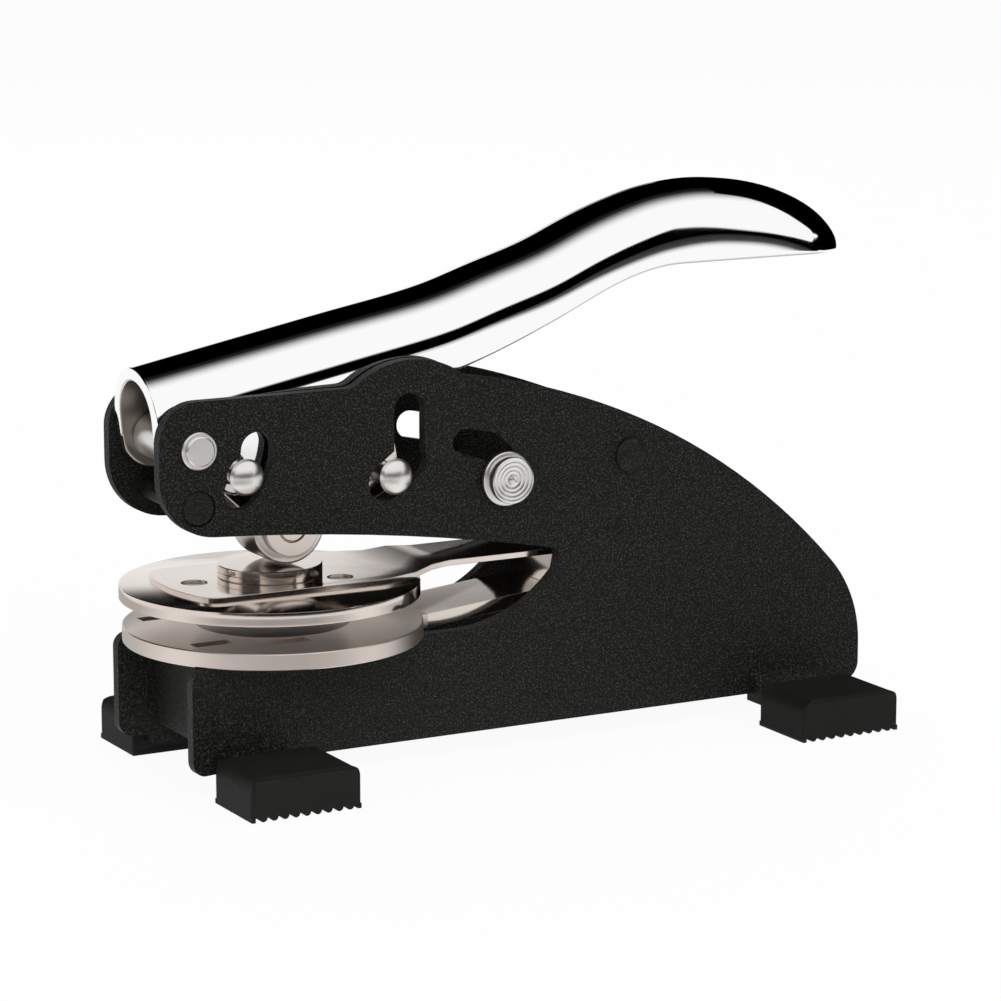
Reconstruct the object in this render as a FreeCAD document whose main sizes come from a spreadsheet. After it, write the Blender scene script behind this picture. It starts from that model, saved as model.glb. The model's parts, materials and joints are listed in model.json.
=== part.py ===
import FreeCAD, Part
import math
import os
import Sketcher
from FreeCAD import Placement, Rotation, Vector

# A heavy desk seal embosser: two upright side plates carry a cast lever, which pushes a press
# lever with a roller down on the flexible arm of the upper die.
# Frame: +X to the rear, +Y to the far side, +Z up, the desk at Z = 0.  Every piece is drawn from
# the axis of the dies and placed at die_axis, so that the frame's origin is the middle of the base.

doc = FreeCAD.newDocument("SealEmbosser")
sizes = doc.addObject("Spreadsheet::Sheet", "Sizes")

SIZES = [
    ("die_axis", -51.0, "die axis from the middle of the base"),
    # side plates
    ("plate_gap", 22.0, "clear width between the side plates"),
    ("plate_thick", 2.5, "side plate"),
    ("jaw_front", -29.3, "front of the jaw from the die axis"),
    ("jaw_top", 77.7, "level top of the jaw"),
    ("jaw_bottom", 51.4, "lower front corner of the jaw"),
    ("jaw_chin_radius", 12.0, "lower front corner of the jaw"),
    ("jaw_brow_radius", 8.0, "upper front corner of the jaw"),
    ("jaw_edge_radius", 500.0, "slow curve of the jaw's lower edge"),
    ("hump_front", 12.3, "front of the hump on the top edge"),
    ("hump_rear", 36.9, "rear of the hump on the top edge"),
    ("hump_radius", 19.4, "hump on the top edge"),
    ("hump_blend", 4.0, "blend at each end of the hump"),
    ("back_radius", 148.1, "long curve of the back"),
    ("back_centre_x", 15.7, "centre of the long curve"),
    ("back_centre_z", -68.2, "centre of the long curve"),
    ("plate_rear", 132.0, "rear end of the plates"),
    ("heel_radius", 27.4, "rear end above the feet"),
    ("heel_corner", 4.0, "lower rear corner"),
    ("plate_bottom", 5.2, "lower edge of the plates above the desk"),
    ("throat_floor", 26.6, "floor of the throat above the desk"),
    ("throat_bend", 35.5, "where the floor starts to rise"),
    ("throat_radius", 29.3, "rising end of the throat"),
    ("throat_rise", 10.2, "height of the rising end"),
    ("throat_end", 58.6, "rear tip of the throat"),
    ("throat_roof", 41.1, "roof of the throat at its rear tip"),
    ("throat_tip_radius", 1.8, "rear tip of the throat"),
    ("toe_front", -25.8, "front of the base"),
    ("toe_bend", 4.5, "where the front of the base flares outwards"),
    ("toe_flare", 5.9, "how far each plate flares at its front"),
    ("toe_corner", 3.0, "front corners of the base"),
    # foot tabs and rubber feet
    ("tab_thick", 2.5, "bent-out tab"),
    ("tab_lift", 3.2, "under side of the tab above the desk"),
    ("front_tab_bend", 1.5, "inner radius where the front tabs are bent out"),
    ("rear_tab_bend", 5.0, "inner radius where the rear tabs are bent out"),
    ("foot_length", 23.3, "rubber foot, front to rear"),
    ("foot_width", 16.9, "rubber foot, across"),
    ("foot_height", 8.8, "rubber foot"),
    ("foot_inner", 19.9, "inner side of the foot from the middle"),
    ("foot_wall", 2.6, "rubber round the tab"),
    ("foot_slot_fit", 0.1, "clearance of the tab in its foot"),
    ("foot_top_radius", 3.0, "front and rear upper edges of a foot"),
    ("foot_side_radius", 0.8, "upright corners and side edges of a foot"),
    ("front_foot", -21.6, "front of the front feet"),
    ("rear_foot", 103.1, "front of the rear feet"),
    ("groove_count", 10, "grooves between the treads"),
    ("tread_pitch", 2.3, "step of the treads"),
    ("tread_groove", 1.0, "width of a groove between treads"),
    ("tread_depth", 0.9, "depth of a groove"),
    ("tread_margin", 3.0, "plain strip of the sole beside the plate"),
    # front web and cross rivets
    ("web_front", -18.7, "front face of the web"),
    ("web_thick", 3.0, "web between the plates"),
    ("web_bottom", 8.0, "lower edge of the web"),
    ("seat_fit", 0.03, "clearance of a seated piece"),
    ("front_rivet_x", -21.2, "front cross rivet"),
    ("front_rivet_z", 56.8, "front cross rivet"),
    ("rear_rivet_x", 75.1, "rear cross rivet"),
    ("rear_rivet_z", 58.9, "rear cross rivet"),
    ("cross_rivet_head", 3.5, "radius of a cross rivet's head"),
    ("front_rivet_shank", 2.0, "radius of the front cross rivet"),
    ("rear_rivet_shank", 2.5, "radius of the rear cross rivet"),
    ("rear_sleeve_wall", 1.5, "distance sleeve on the rear cross rivet"),
    ("rear_rivet_rise", 1.3, "how far the rear rivet's head stands out"),
    ("rear_rivet_rim", 0.7, "upright rim of the rear rivet's head"),
    ("rear_rivet_face", 2.1, "radius of the head's flat face"),
    # handle pivot
    ("pivot_x", -21.2, "handle pivot from the die axis"),
    ("pivot_z", 68.2, "handle pivot above the desk"),
    ("pivot_radius", 3.0, "shank of the pivot rivet"),
    ("pivot_head", 3.7, "radius of the pivot rivet's head"),
    ("pivot_head_rise", 1.6, "how far the head stands out"),
    ("pivot_rim_width", 0.7, "rim round the raised middle of the head"),
    ("pivot_rim_rise", 0.96, "height of that rim over the plate"),
    ("pivot_sleeve_radius", 4.6, "distance sleeve on the pivot"),
    ("running_fit", 0.06, "radial clearance of a turning pin"),
    # handle
    ("handle_width", 21.0, "outer width of the handle"),
    ("handle_wall", 3.0, "side wall of the handle"),
    ("handle_crown", 2.6, "top wall of the handle"),
    ("handle_front", -29.7, "front end of the handle at its top"),
    ("handle_tip", 131.6, "rear tip of the handle"),
    ("brow_top", 82.8, "top of the handle at its front end"),
    ("neck_x", 34.0, "end of the straight front part"),
    ("neck_top", 95.0, "top there"),
    ("waist_x", 46.0, "start of the rise"),
    ("waist_top", 98.7, "top there"),
    ("rise_x", 58.4, "steep part"),
    ("rise_top", 102.5, "top there"),
    ("ramp_x", 68.5, "end of the steep part"),
    ("ramp_top", 106.8, "top there"),
    ("shoulder_x", 77.3, "shoulder of the grip"),
    ("shoulder_top", 109.9, "top there"),
    ("heel_x", 87.0, "front of the grip"),
    ("heel_top", 112.4, "top there"),
    ("crown_x", 96.5, "highest point of the grip"),
    ("crown_top", 113.3, "top of the whole embosser"),
    ("saddle_x", 106.0, "behind the highest point"),
    ("saddle_top", 112.6, "top there"),
    ("palm_x", 114.0, "rear slope of the grip"),
    ("palm_top", 111.0, "top there"),
    ("slope_x", 120.0, "steeper part of the slope"),
    ("slope_top", 108.9, "top there"),
    ("tail_x", 125.0, "end of the slope"),
    ("tail_top", 106.3, "top there"),
    ("lip_x", 129.0, "turn over the rear tip"),
    ("lip_top", 103.0, "top there"),
    ("end_lead", 1.4, "how far the last section lies behind the rear tip"),
    ("end_top", 97.2, "top there"),
    ("hollow_end", 123.0, "rear end of the hollow under the grip"),
    ("tool_margin", 9.0, "how far a cutting outline reaches past the handle"),
    ("tool_side", 3.0, "the same beside the handle"),
    ("station_lead", 2.0, "how far the first section lies in front of the handle"),
    ("hollow_end_rise", 0.9, "top at the hollow's end over the end of the slope"),
    ("boss_turn", 70.0, "where the lower edge leaves the boss, degrees"),
    ("knee_front_turn", 20.0, "where the lower edge meets the knee, degrees"),
    ("knee_rear_turn", 45.0, "where it leaves the knee, degrees"),
    ("leg_depth", 22.0, "legs of the handle's section below its half circle, before trimming"),
    ("boss_radius", 6.7, "handle round its pivot"),
    ("knee_radius", 4.4, "handle round the press pin"),
    ("leg_rear_x", 12.0, "rear end of the legs"),
    ("leg_rear_z", 72.6, "rear end of the legs"),
    ("rail_front_x", 19.0, "front of the rail over the fulcrum pin"),
    ("rail_front_z", 74.6, "front of the rail"),
    ("rail_mid_x", 46.9, "middle of the rail"),
    ("rail_mid_z", 82.3, "middle of the rail"),
    ("rail_rear_x", 75.0, "rear of the rail"),
    ("rail_rear_z", 94.2, "rear of the rail"),
    ("rail_radius", 110.0, "slow curves of the rail"),
    ("grip_under", 96.8, "lower edge of the grip"),
    ("grip_under_x", 88.0, "front of the level lower edge"),
    # press lever
    ("press_pin_x", -11.2, "press pin from the die axis"),
    ("press_pin_z", 62.2, "press pin above the desk"),
    ("fulcrum_x", 21.2, "fulcrum pin from the die axis"),
    ("fulcrum_z", 59.4, "fulcrum pin above the desk"),
    ("link_pin_radius", 2.2, "shank of the press and fulcrum pins"),
    ("link_head", 3.6, "radius of their domed heads"),
    ("link_head_rise", 1.9, "height of their domed heads"),
    ("link_crest_radius", 1.62, "flat crest of a domed head"),
    ("link_shoulder_radius", 2.88, "shoulder of a domed head"),
    ("link_shoulder_rise", 1.37, "height of the shoulder"),
    ("link_rim_rise", 0.67, "height of the head's upright rim"),
    ("head_gap", 0.3, "head to plate"),
    ("cheek_thick", 1.4, "cheek of the press lever"),
    ("cheek_gap", 0.3, "cheek to handle wall"),
    ("cheek_band", 4.2, "half width of the cheek's arms"),
    ("cheek_eye", 5.9, "cheek round the roller's axle"),
    ("cheek_crest_x", 19.6, "upper end of the cheek's upright arm"),
    ("cheek_crest_z", 68.0, "upper end of the cheek's upright arm"),
    # roller
    ("roller_x", 1.8, "roller axis from the die axis"),
    ("roller_z", 49.9, "roller axis above the desk"),
    ("roller_radius", 7.75, "roller"),
    ("roller_gap", 0.2, "roller to cheek"),
    ("roller_edge", 0.6, "chamfer of the roller"),
    ("axle_radius", 3.0, "roller axle"),
    # slots in the side plates
    ("press_slot_radius", 12.6, "middle line of the curved slot round the pivot"),
    ("press_slot_width", 7.0, "curved slot"),
    ("press_slot_top_angle", -4.0, "upper end of the curved slot, degrees"),
    ("press_slot_low_angle", -45.0, "lower end of the curved slot, degrees"),
    ("press_eye", 4.0, "round eye that lets the press pin's head through"),
    ("lift_slot_x", 24.5, "upright slot over the fulcrum pin"),
    ("lift_slot_top", 72.4, "upper end of its middle line"),
    ("lift_slot_low", 62.2, "lower end of its middle line"),
    ("lift_slot_half", 3.4, "half width of the upright slot"),
    ("notch_x", 19.2, "end of the notch's middle line"),
    ("notch_z", 58.3, "end of the notch's middle line"),
    ("notch_half", 3.8, "half width of the notch"),
    ("lock_x", 45.9, "lock rod from the die axis"),
    ("lock_z", 56.8, "lock rod above the desk"),
    ("lock_turn_x", 45.3, "first corner of the lock slot"),
    ("lock_turn_z", 61.0, "first corner of the lock slot"),
    ("lock_bend_x", 42.8, "second corner of the lock slot"),
    ("lock_bend_z", 63.5, "second corner of the lock slot"),
    ("lock_end_x", 37.0, "front end of the lock slot"),
    ("lock_end_z", 64.7, "front end of the lock slot"),
    ("lock_slot_half", 2.85, "half width of the lock slot"),
    # lock
    ("lock_rod_radius", 2.2, "lock rod"),
    ("knob_flange", 5.5, "radius of the knob's flange"),
    ("knob_flange_thick", 1.2, "flange of the knob"),
    ("knob_cap", 4.75, "radius of the knob's cap"),
    ("knob_height", 3.4, "whole height of the knob"),
    ("knob_cone", 0.6, "dish of the knob's face"),
    ("knob_edge", 0.3, "chamfer round the face"),
    ("knob_centre", 0.7, "radius of the flat middle of the face"),
    ("lock_clip_radius", 4.6, "retaining washer at the far end"),
    ("lock_clip_thick", 1.0, "retaining washer"),
    ("lock_rod_end", 0.6, "how far the rod stands out of the washer"),
    # dies
    ("disc_radius", 30.0, "round die plates"),
    ("lower_disc_x", 0.6, "lower die plate from the die axis"),
    ("lower_disc_thick", 3.3, "lower die plate"),
    ("upper_disc_bottom", 35.28, "upper die plate above the desk"),
    ("upper_disc_thick", 2.79, "upper die plate"),
    ("disc_edge", 0.2, "chamfer of the die plates"),
    ("die_radius", 15.5, "engraved dies"),
    ("upper_die_drop", 1.1, "how far the upper die stands below its plate"),
    ("die_recess", 1.0, "recess that takes the lower die flush"),
    ("window_length", 7.8, "window in the lower die plate, front to rear"),
    ("window_width", 3.4, "window in the lower die plate, across"),
    ("front_window_x", -19.3, "front pair of windows from the middle of the disc"),
    ("front_window_side", 12.9, "front pair of windows, from the middle"),
    ("rear_window_x", -4.9, "rear pair of windows from the middle of the disc"),
    ("rear_window_side", 18.2, "rear pair of windows, from the middle"),
    # arms of the die set
    ("tail_half", 8.5, "half width of both tails"),
    ("lower_tail_thick", 2.8, "tail of the lower die plate"),
    ("lower_tail_front", 25.0, "front end of the lower tail, inside the disc"),
    ("lower_tail_foot", 30.0, "where the lower tail starts to rise"),
    ("lower_tail_top", 57.0, "where the lower tail is level again"),
    ("lower_tail_lift", 2.6, "rise of the lower tail"),
    ("tail_rear", 73.5, "rear end of both tails"),
    ("arm_thick", 1.2, "spring-steel arm of the upper die"),
    ("arm_front", -22.8, "front end of the arm"),
    ("arm_half", 15.2, "half width of the arm over the die"),
    ("arm_bow", 38.0, "radius of the arm's bowed front edge"),
    ("arm_corner", 4.5, "front corners of the arm"),
    ("joggle_front", 26.5, "front of the joggle"),
    ("joggle_rear", 31.0, "rear of the joggle"),
    ("joggle_lift", 0.8, "height of the joggle"),
    ("arm_taper_front", 18.0, "where the arm starts to narrow"),
    ("arm_taper_rear", 36.0, "where the arm is as narrow as its tail"),
    ("arm_rivet_radius", 2.4, "rivets that hold the arm on the disc"),
    ("arm_rivet_fit", 0.2, "rivet to arm hole"),
    ("arm_rivet_sink", 0.6, "how far the rivets end below the arm's top"),
    ("arm_rivet_front", -16.4, "front rivet"),
    ("arm_rivet_rear", 11.2, "rear pair of rivets"),
    ("arm_rivet_side", 9.0, "rear pair of rivets, from the middle"),
    ("button_radius", 10.5, "pressure button under the roller"),
    ("button_thick", 2.6, "pressure button"),
    ("button_edge", 0.2, "chamfer of the button"),
    ("spacer_front", 60.5, "front of the spacer between the tails"),
    ("hinge_x", 66.5, "clamping rivets of the die set"),
    ("hinge_side", 4.6, "clamping rivets, from the middle"),
    ("hinge_rivet_radius", 1.6, "clamping rivets"),
    ("hinge_head", 2.8, "head of a clamping rivet"),
    ("hinge_head_thick", 1.1, "head of a clamping rivet"),
    ("hinge_play", 0.3, "play of the arm at its clamping rivets"),
]

for number, (alias, number_value, meaning) in enumerate(SIZES, start=1):
    sizes.set(f"A{number}", meaning)
    sizes.set(f"B{number}", str(number_value))
    sizes.setAlias(f"B{number}", alias)
doc.recompute()


def size(expression):
    """The value of an expression of the sheet's sizes, such as "jaw_top - toe_corner"."""
    answer = sizes.evalExpression(expression)
    return float(getattr(answer, "Value", answer))


def bound(expression):
    """The same expression as other objects of the document read it."""
    words = []
    word = ""
    for letter in expression + " ":
        if letter.isalnum() or letter == "_":
            word += letter
            continue
        words.append(f"Sizes.{word}" if word in ALIASES else word)
        words.append(letter)
        word = ""
    return "".join(words).strip()


ALIASES = {row[0] for row in SIZES}

# Places that several pieces share, as expressions of the sheet's sizes.
PLATE_INNER = "plate_gap / 2"
PLATE_OUTER = "(plate_gap / 2 + plate_thick)"
HUMP_REAR_Z = "(back_centre_z + sqrt(back_radius ^ 2 - (hump_rear - back_centre_x) ^ 2))"
HEEL_Z = "(back_centre_z + sqrt(back_radius ^ 2 - (plate_rear - back_centre_x) ^ 2))"
THROAT_RISE_X = "(throat_bend + sqrt(throat_radius ^ 2 - (throat_radius - throat_rise) ^ 2))"
HANDLE_HALF = "handle_width / 2"
HOLLOW_HALF = "(handle_width / 2 - handle_wall)"
CHEEK_OUTER = "(handle_width / 2 - handle_wall - cheek_gap)"
ROLLER_HALF = "(handle_width / 2 - handle_wall - cheek_gap - cheek_thick - roller_gap)"
LOWER_DISC_TOP = "(throat_floor + lower_disc_thick)"
UPPER_DISC_TOP = "(upper_disc_bottom + upper_disc_thick)"
ARM_TAIL = "(upper_disc_bottom + upper_disc_thick + joggle_lift)"
LOWER_TAIL_TOP = "(throat_floor + lower_tail_lift + lower_tail_thick)"


# ---------------------------------------------------------------- helpers of the document

def new_body(label):
    """A body whose Label names its file, drawn from the die axis."""
    body = doc.addObject("PartDesign::Body", label)
    body.Label = label
    body.setExpression("Placement.Base.x", bound("die_axis"))
    return body


def new_sketch(body, name, plane, offset="0"):
    """A sketch on one of the body's origin planes, shifted along the plane's normal."""
    sketch = body.newObject("Sketcher::SketchObject", name)
    support = [feature for feature in body.Origin.OriginFeatures if feature.Role == plane][0]
    sketch.AttachmentSupport = (support, "")
    sketch.MapMode = "FlatFace"
    sketch.AttachmentOffset = Placement(Vector(0, 0, size(offset)), Rotation())
    sketch.setExpression("AttachmentOffset.Base.z", bound(offset))
    return sketch


def hold(sketch, kind, where, expression):
    """Adds one dimension to a sketch and ties it to the sheet."""
    index = sketch.addConstraint(Sketcher.Constraint(kind, *where, size(expression)))
    sketch.setExpression(f"Constraints[{index}]", bound(expression))


def hold_point(sketch, geometry, end, across, up):
    hold(sketch, "DistanceX", (-1, 1, geometry, end), across)
    hold(sketch, "DistanceY", (-1, 1, geometry, end), up)


def draw_circle(sketch, across, up, radius):
    centre = Vector(size(across), size(up), 0)
    index = sketch.addGeometry(Part.Circle(centre, Vector(0, 0, 1), size(radius)))
    hold_point(sketch, index, 3, across, up)
    hold(sketch, "Radius", (index,), radius)


def arc_between(start, end, radius, turn):
    """The shorter arc from start to end.  turn is 1 when it goes counter-clockwise, else -1."""
    chord = end.sub(start)
    half = chord.Length / 2
    middle = start.add(end).multiply(0.5)
    normal = Vector(-chord.y, chord.x, 0).normalize()
    rise = math.sqrt(max(radius * radius - half * half, 0.0))
    centre = middle.add(normal.multiply(rise * turn))
    circle = Part.Circle(centre, Vector(0, 0, 1), radius)
    first, last = (start, end) if turn > 0 else (end, start)
    angle_first = math.atan2(first.y - centre.y, first.x - centre.x)
    angle_last = math.atan2(last.y - centre.y, last.x - centre.x)
    return Part.ArcOfCircle(circle, angle_first, angle_last)


def draw_outline(sketch, corners):
    """A closed outline.  A corner is (across, up), or (across, up, radius, turn) where an arc
    of that radius leads to the next corner."""
    points = [Vector(size(corner[0]), size(corner[1]), 0) for corner in corners]
    starts = []
    ends = []
    for place, corner in enumerate(corners):
        start = points[place]
        end = points[(place + 1) % len(points)]
        if len(corner) == 2:
            index = sketch.addGeometry(Part.LineSegment(start, end))
            starts.append((index, 1))
            ends.append((index, 2))
        else:
            index = sketch.addGeometry(arc_between(start, end, size(corner[2]), corner[3]))
            starts.append((index, 1) if corner[3] > 0 else (index, 2))
            ends.append((index, 2) if corner[3] > 0 else (index, 1))
    for place in range(len(corners)):
        before = ends[place - 1]
        sketch.addConstraint(Sketcher.Constraint("Coincident", *before, *starts[place]))
    for place, corner in enumerate(corners):
        hold_point(sketch, *starts[place], corner[0], corner[1])
        if len(corner) > 2:
            hold(sketch, "Radius", (starts[place][0],), corner[2])


def draw_capsule(sketch, first, second, radius):
    """A slot's outline: two half circles of one radius joined by two straight sides."""
    one = Vector(size(first[0]), size(first[1]), 0)
    two = Vector(size(second[0]), size(second[1]), 0)
    along = math.atan2(two.y - one.y, two.x - one.x)
    reach = size(radius)
    quarter = math.pi / 2
    axis = Vector(0, 0, 1)
    cap_one = Part.ArcOfCircle(Part.Circle(one, axis, reach), along + quarter, along + 3 * quarter)
    cap_two = Part.ArcOfCircle(Part.Circle(two, axis, reach), along - quarter, along + quarter)
    a = sketch.addGeometry(cap_one)
    b = sketch.addGeometry(cap_two)
    side = Vector(-math.sin(along), math.cos(along), 0).multiply(reach)
    c = sketch.addGeometry(Part.LineSegment(two.add(side), one.add(side)))
    d = sketch.addGeometry(Part.LineSegment(one.sub(side), two.sub(side)))
    sketch.addConstraint(Sketcher.Constraint("Tangent", b, 2, c, 1))
    sketch.addConstraint(Sketcher.Constraint("Tangent", c, 2, a, 1))
    sketch.addConstraint(Sketcher.Constraint("Tangent", a, 2, d, 1))
    sketch.addConstraint(Sketcher.Constraint("Tangent", d, 2, b, 1))
    hold_point(sketch, a, 3, *first)
    hold_point(sketch, b, 3, *second)
    hold(sketch, "Radius", (a,), radius)


def add_pad(body, sketch, name, length, symmetric=False, reverse=False):
    pad = body.newObject("PartDesign::Pad", name)
    pad.Profile = sketch
    pad.SideType = "Symmetric" if symmetric else "One side"
    pad.Reversed = reverse
    pad.setExpression("Length", bound(length))
    body.Tip = pad
    doc.recompute()
    return pad


def add_pocket(body, sketch, name, length=None, reverse=False, symmetric=False):
    """A cut of the given length, or right through to both sides.  It has to take something."""
    before = body.Tip.Shape.Volume
    pocket = body.newObject("PartDesign::Pocket", name)
    pocket.Profile = sketch
    pocket.Reversed = reverse
    if length is None or symmetric:
        pocket.SideType = "Symmetric"
    if length is None:
        pocket.Type = "ThroughAll"
    else:
        pocket.setExpression("Length", bound(length))
    body.Tip = pocket
    doc.recompute()
    if pocket.Shape.Volume >= before - 1e-6:
        raise RuntimeError(f"{body.Label}: {name} cuts nothing")
    return pocket


def turned(body, name, corners, plane="XZ_Plane"):
    """A revolution round the body's Z axis of a closed half profile of (radius, height)."""
    sketch = new_sketch(body, name + "_profile", plane)
    draw_outline(sketch, corners)
    turn = body.newObject("PartDesign::Revolution", name)
    turn.Profile = sketch
    turn.ReferenceAxis = (sketch, ["V_Axis"])
    turn.Angle = 360.0
    body.Tip = turn
    doc.recompute()
    return turn


def edges_at(feature, places, along):
    """Names of the straight edges that run along an axis through the given (across, up)."""
    names = []
    for number, edge in enumerate(feature.Shape.Edges, start=1):
        if len(edge.Vertexes) != 2 or not isinstance(edge.Curve, Part.Line):
            continue
        start, end = [vertex.Point for vertex in edge.Vertexes]
        run = end.sub(start)
        run.normalize()
        if abs(run.dot(along)) < 0.999:
            continue
        for across, up in places:
            if along.y:
                gap = math.hypot(start.x - across, start.z - up)
            elif along.x:
                gap = math.hypot(start.y - across, start.z - up)
            else:
                gap = math.hypot(start.x - across, start.y - up)
            if gap < 0.01:
                names.append(f"Edge{number}")
    return names


def round_edges(body, name, names, radius):
    if not names:
        raise RuntimeError(f"{body.Label}: {name} finds no edge")
    base = body.Tip
    fillet = body.newObject("PartDesign::Fillet", name)
    fillet.Base = (base, names)
    fillet.setExpression("Radius", bound(radius))
    body.Tip = fillet
    doc.recompute()
    return fillet


def round_corners(body, name, corners, radius, along=Vector(0, 1, 0)):
    """Rounds the edges that run along an axis through corners given as expressions."""
    places = [(size(across), size(up)) for across, up in corners]
    return round_edges(body, name, edges_at(body.Tip, places, along), radius)


def lay_across(body, across, up):
    """Lays a turned piece on a cross axis: its own Z axis points to the near side, -Y."""
    body.Placement = Placement(Vector(size("die_axis"), 0, 0), Rotation(Vector(1, 0, 0), 90))
    body.setExpression("Placement.Base.x", bound(f"die_axis + {across}"))
    body.setExpression("Placement.Base.z", bound(up))


# ---------------------------------------------------------------- side plates

def plate_corners():
    """The outline of a side plate behind the flared toe, counter-clockwise from the toe."""
    return [
        ("toe_bend", "plate_bottom"),
        ("plate_rear", "plate_bottom"),
        ("plate_rear", HEEL_Z, "back_radius", 1),
        ("hump_rear", HUMP_REAR_Z, "hump_radius", 1),
        ("hump_front", "jaw_top"),
        ("jaw_front", "jaw_top"),
        ("jaw_front", "jaw_bottom", "jaw_edge_radius", -1),
        ("throat_end", "throat_roof"),
        (THROAT_RISE_X, "throat_floor + throat_rise", "throat_radius", -1),
        ("throat_bend", "throat_floor"),
        ("toe_bend", "throat_floor"),
    ]


def cut_capsule(body, name, first, second, radius):
    sketch = new_sketch(body, name + "_outline", "XZ_Plane")
    draw_capsule(sketch, first, second, radius)
    add_pocket(body, sketch, name)


def cut_hole(body, name, across, up, radius):
    sketch = new_sketch(body, name + "_outline", "XZ_Plane")
    draw_circle(sketch, across, up, radius)
    add_pocket(body, sketch, name)


def press_slot_place(angle, reach, aside="0"):
    """A place on the curved slot: its reach from the handle's pivot, and how far aside of it."""
    across = f"(pivot_x + ({reach}) * cos({angle} * 1 deg) - ({aside}) * sin({angle} * 1 deg))"
    up = f"(pivot_z + ({reach}) * sin({angle} * 1 deg) + ({aside}) * cos({angle} * 1 deg))"
    return across, up


def cut_press_slot(body):
    """The curved slot that the press pin follows round the handle's pivot."""
    cap = "press_slot_width / 2"
    inner = f"press_slot_radius - {cap}"
    outer = f"press_slot_radius + {cap}"
    sketch = new_sketch(body, "press_slot_outline", "XZ_Plane")
    draw_outline(sketch, [
        (*press_slot_place("press_slot_low_angle", inner), cap, 1),
        (*press_slot_place("press_slot_low_angle", "press_slot_radius", f"-{cap}"), cap, 1),
        (*press_slot_place("press_slot_low_angle", outer), outer, 1),
        (*press_slot_place("press_slot_top_angle", outer), cap, 1),
        (*press_slot_place("press_slot_top_angle", "press_slot_radius", cap), cap, 1),
        (*press_slot_place("press_slot_top_angle", inner), inner, -1),
    ])
    add_pocket(body, sketch, "press_slot")


def add_toe(body, side):
    """The front of the base, where the plate flares outwards below the throat."""
    sketch = new_sketch(body, "toe_outline", "XY_Plane", "plate_bottom")
    outer = f"{side} * {PLATE_OUTER}"
    inner = f"{side} * {PLATE_INNER}"
    draw_outline(sketch, [
        ("toe_bend", outer),
        ("toe_bend", inner),
        ("toe_front", f"{inner} + {side} * toe_flare"),
        ("toe_front", f"{outer} + {side} * toe_flare"),
    ][::-side])
    add_pad(body, sketch, "toe", "throat_floor - plate_bottom")


def flared(face, across, side):
    """How far from the middle a face of the plate lies, at a place in front of the bend."""
    return f"{side} * ({face} + toe_flare * (toe_bend - ({across})) / (toe_bend - toe_front))"


def add_tab(body, name, foot_front, side, in_toe):
    """A steel tab, bent outwards from the plate's lower edge, that carries a rubber foot."""
    front = f"({foot_front} + foot_wall)"
    rear = f"({foot_front} + foot_length - foot_wall)"
    reach = f"{side} * (foot_inner + foot_width - foot_wall)"
    if in_toe:
        inner_front = flared(PLATE_INNER, front, side)
        inner_rear = flared(PLATE_INNER, rear, side)
    else:
        inner_front = f"{side} * {PLATE_INNER}"
        inner_rear = inner_front
    sketch = new_sketch(body, name + "_outline", "XY_Plane", "tab_lift")
    draw_outline(sketch, [
        (front, inner_front),
        (front, reach),
        (rear, reach),
        (rear, inner_rear),
    ][::side])
    add_pad(body, sketch, name, "tab_thick")


def round_tab(body, name, foot_front):
    """The inner radius where a tab is bent out of the plate."""
    front = size(f"{foot_front} + foot_wall")
    rear = size(f"{foot_front} + foot_length - foot_wall")
    top = size("tab_lift + tab_thick")
    names = []
    for number, edge in enumerate(body.Tip.Shape.Edges, start=1):
        box = edge.BoundBox
        on_top = abs(box.ZMin - top) < 0.01 and abs(box.ZMax - top) < 0.01
        on_tab = abs(box.XMin - front) < 0.01 and abs(box.XMax - rear) < 0.01
        if on_top and on_tab and abs(edge.CenterOfMass.y) < size("foot_inner"):
            names.append(f"Edge{number}")
    round_edges(body, name + "_bend", names, name + "_bend")


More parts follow.
